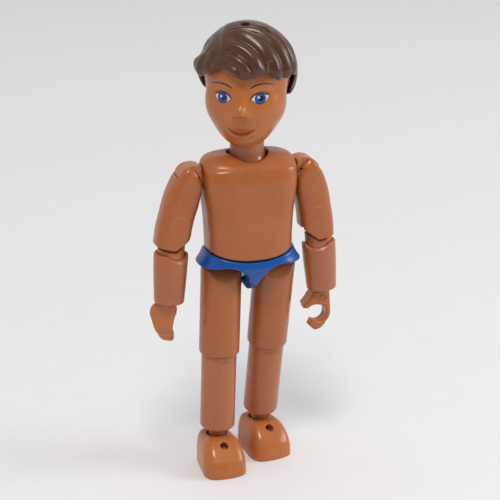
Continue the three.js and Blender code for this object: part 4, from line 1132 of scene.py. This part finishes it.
def arm_skin(x, y, z):
    """The plain outside of the upper arm, with its cap and its slanted lower end."""
    body = both(lofted(x, y, z, ARM_RINGS), z - ARM_TOP, EDGE)
    body = both(body, -TORSO_ROOM - x, 0.7)
    body = both(body, z * math.sin(LIFT) - x * math.cos(LIFT) - TORSO_ROOM, 1.7)
    tip_x, tip_z = EAR_TIP
    outward = math.radians(8)
    ears = [
        EAR_TIP,
        (tip_x - FAR * math.cos(EAR_SLOPE), tip_z + FAR * math.sin(EAR_SLOPE)),
        (-FAR, -FAR),
        (FAR, -FAR),
        (tip_x + FAR * math.cos(outward), tip_z + FAR * math.sin(outward)),
    ]
    return cut(body, 0.35, outline(x, z, ears))


def upper_arm_field(x, y, z):
    body = arm_skin(x, y, z)
    deep = np.abs(y) - SLOT
    disc_room = np.minimum(disc(x, z, SHOULDER_DISC_ROOM), 0.72 - z)
    peg_room = np.maximum(x, -2.66 - z)
    body = cut(body, 0.08, np.minimum(disc_room, peg_room), deep)
    eye_room = np.maximum(span(x, -0.2, 5.7 + 0.1 * np.clip(-10 - z, 0, 5)), z - ELBOW[1] - 3.0)
    body = cut(body, EDGE, eye_room, deep)
    for centre in ((0, 0), ELBOW):
        body = cut(body, FINE_EDGE, disc(x, z, PIN_HOLE, centre))
    return body


def arm_face(x, z, facing):
    """The y of the upper arm's front or rear over places x and z."""
    inside, outside = np.zeros_like(x), np.full_like(x, 4.6 * facing)
    for _ in range(24):
        middle = (inside + outside) / 2
        within = arm_skin(x, middle, z) < 0
        inside = np.where(within, middle, inside)
        outside = np.where(within, outside, middle)
    return inside


def pin_shape(centre):
    """Points, faces and rim tint of a pin whose two round heads follow the arm's skin. The rim tint is a
    painted highlight round the edge of each head.
    """
    head, rise = millimetres("pin_head"), millimetres("pin_rise")
    half = [(0.6, rise), (1.2, rise), (head - 0.18, rise), (head - 0.1, rise), (head - 0.04, 0.7 * rise)]
    half += [(head, 0), (head, -0.1), (1.3, -0.3)]
    turns = np.linspace(0, 2 * math.pi, 48, endpoint=False)

    def ring(radius, lift, facing):
        z = centre[1] + radius * np.sin(turns)
        least = np.maximum((z * math.sin(LIFT) - TORSO_ROOM) / math.cos(LIFT), -TORSO_ROOM)
        x = np.maximum(centre[0] + radius * np.cos(turns), least + 0.15)
        y = arm_face(x, z, facing) + facing * lift
        return np.stack([x, y, z], axis=1)

    rings = [ring(radius, lift, -1) for radius, lift in half]
    rings += [ring(radius, lift, 1) for radius, lift in reversed(half)]
    points = np.concatenate(rings)
    ends = [rings[0].mean(axis=0), rings[-1].mean(axis=0)]
    count = len(turns)
    last = len(points) - count
    pairs = [(j, (j + 1) % count) for j in range(count)]
    faces = [(i + j, i + count + j, i + count + k, i + k) for i in range(0, last, count) for j, k in pairs]
    for j, k in pairs:
        faces += [(len(points), j, k), (len(points) + 1, last + k, last + j)]
    # The rim of each head takes a lighter tint: a painted highlight.
    rim = [float(head - 0.13 < radius and lift >= 0) for radius, lift in half]
    tint = np.append(np.repeat(rim + rim[::-1], count), (0, 0))
    return np.concatenate([points, ends]), faces, tint


def shoulder_link_field(x, y, z):
    body = both(disc(x, z, SHOULDER_DISC), np.abs(y) - SHOULDER_LINK_HALF, 0.06)
    body = both(body, -TORSO_ROOM - x, EDGE)
    peg = both(disc(y, z, PEG_RADIUS), span(x, PEG_END, 0), EDGE)
    flange = both(disc(y, z, PEG_FLANGE), span(x, PEG_END, PEG_END + 1), EDGE)
    body = either(either(body, peg, SOFT_EDGE), flange, EDGE)
    return cut(body, FINE_EDGE, disc(x, z, LINK_HOLE))


def elbow_link_field(x, y, z):
    deep = np.abs(y) - ELBOW_LINK_HALF
    eye = both(disc(x, z, ELBOW_EYE), deep, SOFT_EDGE)
    bar = both(both(span(x, -1.0, 2.4), deep, 0.4), span(z, -7, 0), SOFT_EDGE)
    aside, above = x - (EAR_TIP[0] - ELBOW[0]), z - (EAR_TIP[1] - ELBOW[1])
    under_ears = aside * math.sin(EAR_SLOPE) + above * math.cos(EAR_SLOPE) + EAR_GAP
    under_ears = either(under_ears, above + EAR_GAP - 0.14 * aside, SOFT_EDGE)
    barrel = both(disc(x, y, BARREL_RADIUS, (SLEEVE_OUT, 0)), span(z, BARREL_END, -2.6), SOFT_EDGE)
    barrel = both(barrel, under_ears, FINE_EDGE)
    body = either(either(eye, bar, SOFT_EDGE), barrel, SOFT_EDGE)
    return cut(body, FINE_EDGE, disc(x, z, LINK_HOLE))


def forearm_field(x, y, z):
    across = disc(x, y, 0, (SLEEVE_OUT, 0))
    wall = eased(z, (SLEEVE_END, SLEEVE_END + 0.9, SLEEVE_TOP - 1, SLEEVE_TOP), (3.4, 3.45, 3.85, 3.8))
    body = both(across - wall, span(z, SLEEVE_END, SLEEVE_TOP), 0.4)
    body = cut(body, 0.1, across - BARREL_ROOM, SLEEVE_TOP - 4.25 - z)
    body = cut(body, EDGE, across - WRIST_BORE, z - SLEEVE_END - 4.3)
    aside = np.degrees(np.arctan2(SLEEVE_OUT - x, np.abs(y)))
    scoop = np.clip(1 - ((aside - 24) / 52) ** 2, 0, 1)
    rim = SLEEVE_TOP - scoop * (0.8 + 1.5 * (across - BARREL_ROOM))
    return both(body, 0.8 * (z - rim), FINE_EDGE)


class DOLL_OT_arms(bpy.types.Operator):
    """Mould the shoulder links, upper arms, pins, elbow links and sleeves"""

    bl_idname = "doll.arms"
    bl_label = "Arms"

    def execute(self, context):
        link = meshed(shoulder_link_field, (-6.4, -3, -3.9), (3.9, 3, 3.9))
        arm = meshed(upper_arm_field, (-2, -4.2, -16.2), (7.8, 4.2, 4.2))
        pins = {"shoulder": pin_shape((0, 0)), "elbow": pin_shape(ELBOW)}
        colours = settings().colours
        # The pin heads' rims take a lighter tint: a painted highlight.
        wear_and_sheen = plastic("pin_plastic", colours.skin, colours.gloss, tint=colours.rim_light)
        elbow = meshed(elbow_link_field, (-3.2, -3.2, -11.4), (4.2, 3.2, 3.2))
        sleeve = meshed(forearm_field, (-3.1, -4.1, SLEEVE_END - 0.2), (5.1, 4.1, SLEEVE_TOP + 0.2))
        for side in SIDES:
            hub, upper, fore = f"{side}_shoulder", f"{side}_upper_arm", f"{side}_forearm"
            add_piece(f"{hub}_link", link, shoulder_place(side), hub, "skin_orange")
            add_piece(upper, arm, arm_place(side), upper, "skin")
            for joint in ("shoulder", "elbow"):
                points, faces, rim = pins[joint]
                name = f"{side}_{joint}_pin"
                pin = add_piece(name, (points, faces), arm_place(side), upper, "skin", wear_and_sheen)
                set_tint(pin, rim * (0.7 if joint == "elbow" else 0.25))
            add_piece(f"{side}_elbow_link", elbow, elbow_place(side), fore, "skin_orange")
            add_piece(fore, sleeve, elbow_place(side), fore, "skin_pink")
        return {"FINISHED"}


# Hands, drawn in the left hand's frame at the sleeve's end.

GRIP = (-1.6, -5.9)
GRIP_RADIUS = 2.1
WRIST_PEG = 1.6


def on_grip(radius, degrees):
    """A place at a distance and a turn from the middle of the grip."""
    way = math.radians(degrees)
    return (GRIP[0] + radius * math.cos(way), GRIP[1] + radius * math.sin(way))


def hand_field(x, y, z):
    outer, back = 3.8, 3.1
    thumb_turn, finger_turn = 150, -128
    clip = bend((1.55, -0.25), (1.55, GRIP[1] / 2), on_grip(back, 0))
    clip += arc(GRIP, back, 0, -50, 8)
    clip += bend(on_grip(back, -50), (-0.4, GRIP[1] - outer - 0.5), on_grip(outer + 0.6, -102))
    clip += [on_grip(outer - 0.2, finger_turn)]
    clip += arc(GRIP, GRIP_RADIUS, finger_turn, thumb_turn, 28)
    clip += [on_grip(outer - 0.8, thumb_turn + math.degrees(0.16))]
    thumb = on_grip(outer - 0.2, thumb_turn - math.degrees(0.12))
    clip += bend(thumb, (-2.85, GRIP[1] / 2), (-2.15, -0.25))
    body = outline(x, z, clip)
    palm = 1.2
    front, rear = palm - 3, palm + 3
    low = GRIP[1] - outer - 1
    finger = palm - 0.8
    side = bend((-2.15, 0), (front, GRIP[1] * 0.15), (front, GRIP[1] * 0.5))
    side += bend((front, GRIP[1] * 0.5), (front, GRIP[1] * 1.2), (finger - 1.3, low))
    side += bend((finger + 1.3, low), (rear - 0.9, GRIP[1] * 0.95), (rear, GRIP[1] * 0.55))
    side += bend((rear, GRIP[1] * 0.5), (rear, GRIP[1] * 0.15), (2.15, 0))
    body = both(body, outline(y, z, side), 1.1)
    body = both(body, front - y + 0.6 * np.clip(-1 - x, 0, 4), 0.8)
    mark = (-0.5, -1.35, -1.9)
    body = cut(body, EDGE, slanted_rod(x, y, z, millimetres("dimple"), (-0.5, -6, -1.9), mark, SOFT_EDGE))
    body = either(body, ball(x, y, z, 0.5, mark), EDGE)
    peg = both(disc(x, y, WRIST_PEG), span(z, -1.2, 4), SOFT_EDGE)
    return either(body, peg, SOFT_EDGE)


class DOLL_OT_hands(bpy.types.Operator):
    """Mould the clip hands"""

    bl_idname = "doll.hands"
    bl_label = "Hands"

    def execute(self, context):
        shape = meshed(hand_field, (-5.8, -2.4, -11), (2.4, 4.6, 4.2), coarse=0.8)
        for side in SIDES:
            hand = f"{side}_hand"
            add_piece(hand, shape, wrist_place(side), hand, "skin", skin("skin_orange"))
        return {"FINISHED"}


# Legs, drawn from the hip axle, the knee pin and the middle of the ankle ball.

THIGH_LENGTH = 15
KNEE_HEM = 2.1
KNEE_ROOM, KNEE_SLOT_HALF, KNEE_PIN_BORE = 3.3, 2.4, 1.03
KNEE_DISC, KNEE_DISC_ROOM, KNEE_LINK_HALF = 3.0, 3.25, 2.1
KNEE_STEM, KNEE_STEM_BORE, KNEE_STEM_END = 1.7, 1.95, -8
REAR_CUT = 4.36
AXLE_BORE = 1.0
SHIN_RADIUS = 4.06
SHIN_END = -21.45
ANKLE_DROP = 26.9
ANKLE_BALL, ANKLE_BALL_ROOM, ANKLE_PEG, ANKLE_PEG_BORE = 2.6, 3.15, 1.4, 1.6


def thigh_field(x, y, z):
    knee = -THIGH_LENGTH
    top = np.where(z > 0, disc(y, z, THIGH_RADIUS), np.abs(y) - THIGH_RADIUS)
    body = both(disc(x, y, THIGH_RADIUS), np.maximum(top, z - THIGH_RADIUS), 0.5)
    body = both(body, knee - KNEE_HEM - z, SOFT_EDGE)
    slot = np.abs(x) - KNEE_SLOT_HALF
    body = cut(body, EDGE, disc(y, z, KNEE_ROOM, (0, knee)), slot)
    body = cut(body, EDGE, -KNEE_ROOM - y, z - knee, slot)
    body = cut(body, EDGE, -y, z - knee - KNEE_ROOM, slot)
    behind = [(KNEE_HEM, knee + REAR_CUT), (KNEE_HEM, knee), *arc((0, knee), KNEE_HEM, 0, -90, 10)]
    behind += [(0, -FAR), (FAR, -FAR), (FAR, knee + REAR_CUT)]
    body = cut(body, SOFT_EDGE, outline(y, z, behind))
    body = cut(body, FINE_EDGE, disc(y, z, KNEE_PIN_BORE, (0, knee)), span(x, -4.1, 3.47))
    return cut(body, EDGE, disc(y, z, AXLE_BORE), x - 2.7)


def knee_link_field(x, y, z):
    body = both(disc(y, z, KNEE_DISC), np.abs(x) - KNEE_LINK_HALF, SOFT_EDGE)
    stem = both(disc(x, y, KNEE_STEM), span(z, KNEE_STEM_END, 0), SOFT_EDGE)
    return cut(either(body, stem, SOFT_EDGE), FINE_EDGE, disc(y, z, 1.05))


def shin_field(x, y, z):
    top = -KNEE_HEM - 0.1
    body = both(both(disc(x, y, SHIN_RADIUS), z - top, EDGE), SHIN_END - z, 0.8)
    body = cut(body, EDGE, disc(y, z, KNEE_DISC_ROOM), np.abs(x) - 2.35)
    body = cut(body, EDGE, disc(x, y, KNEE_STEM_BORE), KNEE_STEM_END - 0.25 - z)
    return cut(body, EDGE, disc(x, y, ANKLE_PEG_BORE), z - SHIN_END - 5.25)


def ankle_peg_field(x, y, z):
    across = disc(x, y, 0)
    body = ball(x, y, z, ANKLE_BALL, (0, 0, 0))
    body = either(body, both(across - ANKLE_PEG, span(z, 0, 10.4), SOFT_EDGE), 0.5)
    body = either(body, both(across - 2.0, span(z, 1.5, 5), EDGE), SOFT_EDGE)
    return either(body, both(across - 2.4, span(z, 4.6, 5.3), EDGE), 0.5)


def knee_line():
    """Points and faces of a thin dark line across the front of a shin: painted shade that stands for the
    slit there.
    """
    x = np.linspace(-1.5, 1.5, 21)
    middle = -3.5 + 0.25 * (x / 1.5) ** 2
    half = 0.07 * (1.2 - (x / 1.5) ** 2)
    places, heights, faces = painted_area(x, middle - half, middle + half, 3)
    depth = -np.sqrt(SHIN_RADIUS**2 - places**2) - 0.015
    return np.stack([places, depth, heights], axis=1), faces


class DOLL_OT_legs(bpy.types.Operator):
    """Mould the thighs, knee links, shins and ankle pegs"""

    bl_idname = "doll.legs"
    bl_label = "Legs"

    def execute(self, context):
        thigh = meshed(thigh_field, (-4.6, -4.6, -17.3), (4.6, 4.6, 4.6))
        link = meshed(knee_link_field, (-2.3, -4.2, -8.2), (2.3, 3.2, 3.2))
        shin = meshed(shin_field, (-4.2, -4.2, SHIN_END - 0.2), (4.2, 4.2, -2))
        peg = meshed(ankle_peg_field, (-2.8, -2.8, -2.8), (2.8, 2.8, 10.6))
        # Painted shade: a thin dark line on each shin where the slit below the knee falls in shadow.
        seam = plastic("seam_plastic", settings().colours.seam, 0.4, drift=0.2)
        for side in SIDES:
            upper, lower = f"{side}_thigh", f"{side}_shin"
            add_piece(upper, thigh, leg_place(side, "hip_swing") @ handed(side), upper, "skin")
            knee = leg_place(side, "knee_bend")
            add_piece(f"{side}_knee_link", link, knee, lower, "skin_orange")
            add_piece(lower, shin, knee, lower, "skin_pink")
            line = placed(f"{side}_knee_line", *knee_line(), knee, seam)
            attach(line, lower)
            ankle = knee @ Matrix.Translation((0, 0, -ANKLE_DROP))
            add_piece(f"{side}_ankle_peg", peg, ankle, lower, "skin_pink")
        return {"FINISHED"}


# Feet, drawn from the middle of the ankle ball.

BALL_HEIGHT = 4.7
HEEL = 5
TOE = HEEL - 15.2
INSTEP = 8.5
TOE_HEIGHT = 4.4
INSTEP_HOLE = 0.95


def foot_field(x, y, z):
    z = z + BALL_HEIGHT
    half, heel_half, taper = 5.6, 4.4, 2.8
    sole = bend((half, TOE + 5), (half, TOE + 1.6), (3, TOE), (0, TOE), steps=10)
    sole += bend((0, TOE), (-3, TOE), (-half, TOE + 1.6), (-half, TOE + 5), steps=10)
    sole += bend((-heel_half, HEEL / 4), (-heel_half, HEEL - 1), (-2.6, HEEL), (0, HEEL), steps=10)
    sole += bend((0, HEEL), (2.6, HEEL), (heel_half, HEEL - 1), (heel_half, HEEL / 4), steps=10)
    mouth = -3.0
    profile = [(FAR, -FAR), (FAR, INSTEP - 2.4), (HEEL, INSTEP - 2.4)]
    profile += bend((HEEL, INSTEP - 2.4), (HEEL - 0.3, INSTEP), (HEEL - 2.2, INSTEP))
    profile += bend((mouth, INSTEP), (mouth - 1.2, INSTEP), (mouth - 2, INSTEP - 0.7))
    profile += bend((TOE + 1.8, TOE_HEIGHT + 0.3), (TOE + 0.4, TOE_HEIGHT - 0.6), (TOE, TOE_HEIGHT - 2.4))
    profile += [(TOE, -FAR)]
    section = [(half, -FAR), (half, TOE_HEIGHT / 2)]
    section += bend((half, TOE_HEIGHT / 2), (half - 0.5, INSTEP - 0.9), (half - taper, INSTEP))
    section += bend((taper - half, INSTEP), (0.5 - half, INSTEP - 0.9), (-half, TOE_HEIGHT / 2))
    section += [(-half, -FAR)]
    body = both(outline(x, y, sole), outline(y, z, profile), 3.0)
    body = both(body, outline(x, z, section), 2.2)
    body = both(body, -z, 0.25)
    body = cut(body, EDGE, ball(x, y, z, ANKLE_BALL_ROOM, (0, 0, BALL_HEIGHT)))
    body = cut(body, 0.5, disc(x, y, 2.35), BALL_HEIGHT - z)
    hole = TOE + 4.3
    slope = math.atan2(INSTEP - 1 - TOE_HEIGHT, mouth - TOE - 3.8)
    top = TOE_HEIGHT + 0.3 + (hole - TOE - 1.8) * math.tan(slope)

    def down(depth):
        return (0, hole + depth * math.sin(slope), top - depth * math.cos(slope))

    return cut(body, EDGE, slanted_rod(x, y, z, INSTEP_HOLE, down(2.4), down(-6), FINE_EDGE))


class DOLL_OT_feet(bpy.types.Operator):
    """Mould the feet"""

    bl_idname = "doll.feet"
    bl_label = "Feet"

    def execute(self, context):
        low, high = (-5.8, TOE - 0.2, -BALL_HEIGHT - 0.2), (5.8, HEEL + 0.2, INSTEP - BALL_HEIGHT + 0.2)
        shape = meshed(foot_field, low, high)
        for side in SIDES:
            foot = f"{side}_foot"
            add_piece(foot, shape, ankle_place(side), foot, "skin_orange")
        return {"FINISHED"}


class DOLL_OT_inner(bpy.types.Operator):
    """Give the hidden core, axle and knee pins their plastic"""

    bl_idname = "doll.inner"
    bl_label = "Inner pieces"

    def execute(self, context):
        blue = bpy.data.materials["briefs_plastic"]
        pieces = {"pelvis_core": blue, "hip_axle": blue}
        pieces.update({f"{side}_knee_pin": skin("skin") for side in SIDES})
        for node, material in pieces.items():
            mesh = frame["nodes"][node].data
            mesh.materials.clear()
            mesh.materials.append(material)
        return {"FINISHED"}


# Stage: the lamps' target in metres and the camera's place in millimetres from the doll's middle.

DOLL_MIDDLE = Vector((0, 0, 0.06))
CAMERA_PLACE = Vector((-84.8, -299.5, 158.0))
SENSOR_WIDTH = 36
FLOOR_HALF = 3


def add_lamp(name, place, size, power, tint):
    light = bpy.data.lights.new(name, "AREA")
    light.shape = "DISK"
    light.size = size
    light.energy = power
    light.color = tint
    lamp = linked(name, light)
    lamp.location = place
    lamp.rotation_euler = (DOLL_MIDDLE - lamp.location).to_track_quat("-Z", "Y").to_euler()


def floor_material():
    stage = settings().stage
    made = bpy.data.materials.new("pale_floor")
    made.use_nodes = True
    tree = made.node_tree
    shader = tree.nodes["Principled BSDF"]
    place = coordinates(tree)
    back = add_node(tree, "ShaderNodeSeparateXYZ", [("Vector", place)]).outputs["Y"]
    # The floor grows paler behind the doll: painted light that makes up for the lamps' light falling off
    # with distance.
    far = remapped(tree, back, 0.0, 0.7, kind="SMOOTHSTEP")
    shade = mix_colour(tree, far, stage.floor, stage.floor_far)
    grain = remapped(tree, noise(tree, place, 120.0, 4.0), 0.0, 1.0, 0.98, 1.02)
    tree.links.new(toned(tree, shade, grain), shader.inputs["Base Color"])
    shader.inputs["Roughness"].default_value = 0.7
    return made


def room_light():
    """A world of even light that is shaded in front of the doll."""
    stage = settings().stage
    world = bpy.data.worlds.new("room")
    bpy.context.scene.world = world
    world.use_nodes = True
    tree = world.node_tree
    way = add_node(tree, "ShaderNodeSeparateXYZ", [("Vector", coordinates(tree, "Generated"))])
    shaded = stage.room * stage.shade
    light = remapped(tree, way.outputs["Y"], -0.85, -0.25, shaded, stage.room, "SMOOTHSTEP")
    background = tree.nodes["Background"]
    background.inputs["Color"].default_value = (1, 1, 1, 1)
    tree.links.new(light, background.inputs["Strength"])


def set_camera():
    stage = settings().stage
    yaw, pitch, roll = stage.camera_yaw, stage.camera_pitch, stage.camera_roll
    level = math.cos(pitch)
    back_way = Vector((math.sin(yaw) * level, -math.cos(yaw) * level, math.sin(pitch)))
    across = Vector((math.cos(yaw), math.sin(yaw), 0))
    upward = back_way.cross(across)
    right = across * math.cos(roll) + upward * math.sin(roll)
    up = upward * math.cos(roll) - across * math.sin(roll)
    lens = bpy.data.cameras.new("camera")
    lens.sensor_width = SENSOR_WIDTH
    lens.lens = stage.focal * SENSOR_WIDTH
    lens.clip_start = 0.01
    camera = linked("camera", lens)
    matrix = Matrix((right, up, back_way)).transposed().to_4x4()
    matrix.translation = (CAMERA_PLACE + body_place().translation) / 1000
    camera.matrix_world = matrix
    bpy.context.scene.camera = camera


class DOLL_OT_stage(bpy.types.Operator):
    """Lay the floor and set the lamps, the room light and the camera"""

    bl_idname = "doll.stage"
    bl_label = "Stage"

    def execute(self, context):
        stage = settings().stage
        context.scene.view_settings.view_transform = "Standard"
        mesh = bpy.data.meshes.new("floor")
        corners = [(x * FLOOR_HALF, y * FLOOR_HALF, 0) for x, y in ((-1, -1), (1, -1), (1, 1), (-1, 1))]
        mesh.from_pydata(corners, [], [(0, 1, 2, 3)])
        mesh.materials.append(floor_material())
        floor = linked("floor", mesh)
        room_light()
        add_lamp("ceiling_lamp", (-0.13, -0.42, 0.78), 0.26, stage.ceiling, (1, 0.93, 0.82))
        add_lamp("window_lamp", (0.76, -0.24, 0.4), 0.4, stage.window, (0.93, 0.96, 1))
        set_camera()
        return {"FINISHED"}


class DOLL_PT_panel(bpy.types.Panel):
    """Lists the pieces of the doll"""

    bl_idname = "DOLL_PT_panel"
    bl_label = "Jointed doll"
    bl_space_type = "VIEW_3D"
    bl_region_type = "UI"
    bl_category = "Doll"

    def draw(self, context):
        for piece in PIECES:
            self.layout.operator(piece.bl_idname)


PIECES = (
    DOLL_OT_stage,
    DOLL_OT_torso,
    DOLL_OT_briefs,
    DOLL_OT_head,
    DOLL_OT_face,
    DOLL_OT_hair,
    DOLL_OT_arms,
    DOLL_OT_hands,
    DOLL_OT_legs,
    DOLL_OT_feet,
    DOLL_OT_inner,
)
GROUPS = (DollStance, DollShape, DollColours, DollStage, DollSettings)


def register():
    for kind in (*GROUPS, *PIECES, DOLL_PT_panel):
        bpy.utils.register_class(kind)
    bpy.types.Scene.doll = PointerProperty(type=DollSettings)


def unregister():
    del bpy.types.Scene.doll
    for kind in reversed((*GROUPS, *PIECES, DOLL_PT_panel)):
        bpy.utils.unregister_class(kind)


def main():
    register()
    for piece in PIECES:
        group, name = piece.bl_idname.split(".")
        getattr(getattr(bpy.ops, group), name)()


if __name__ == "__main__":
    main()
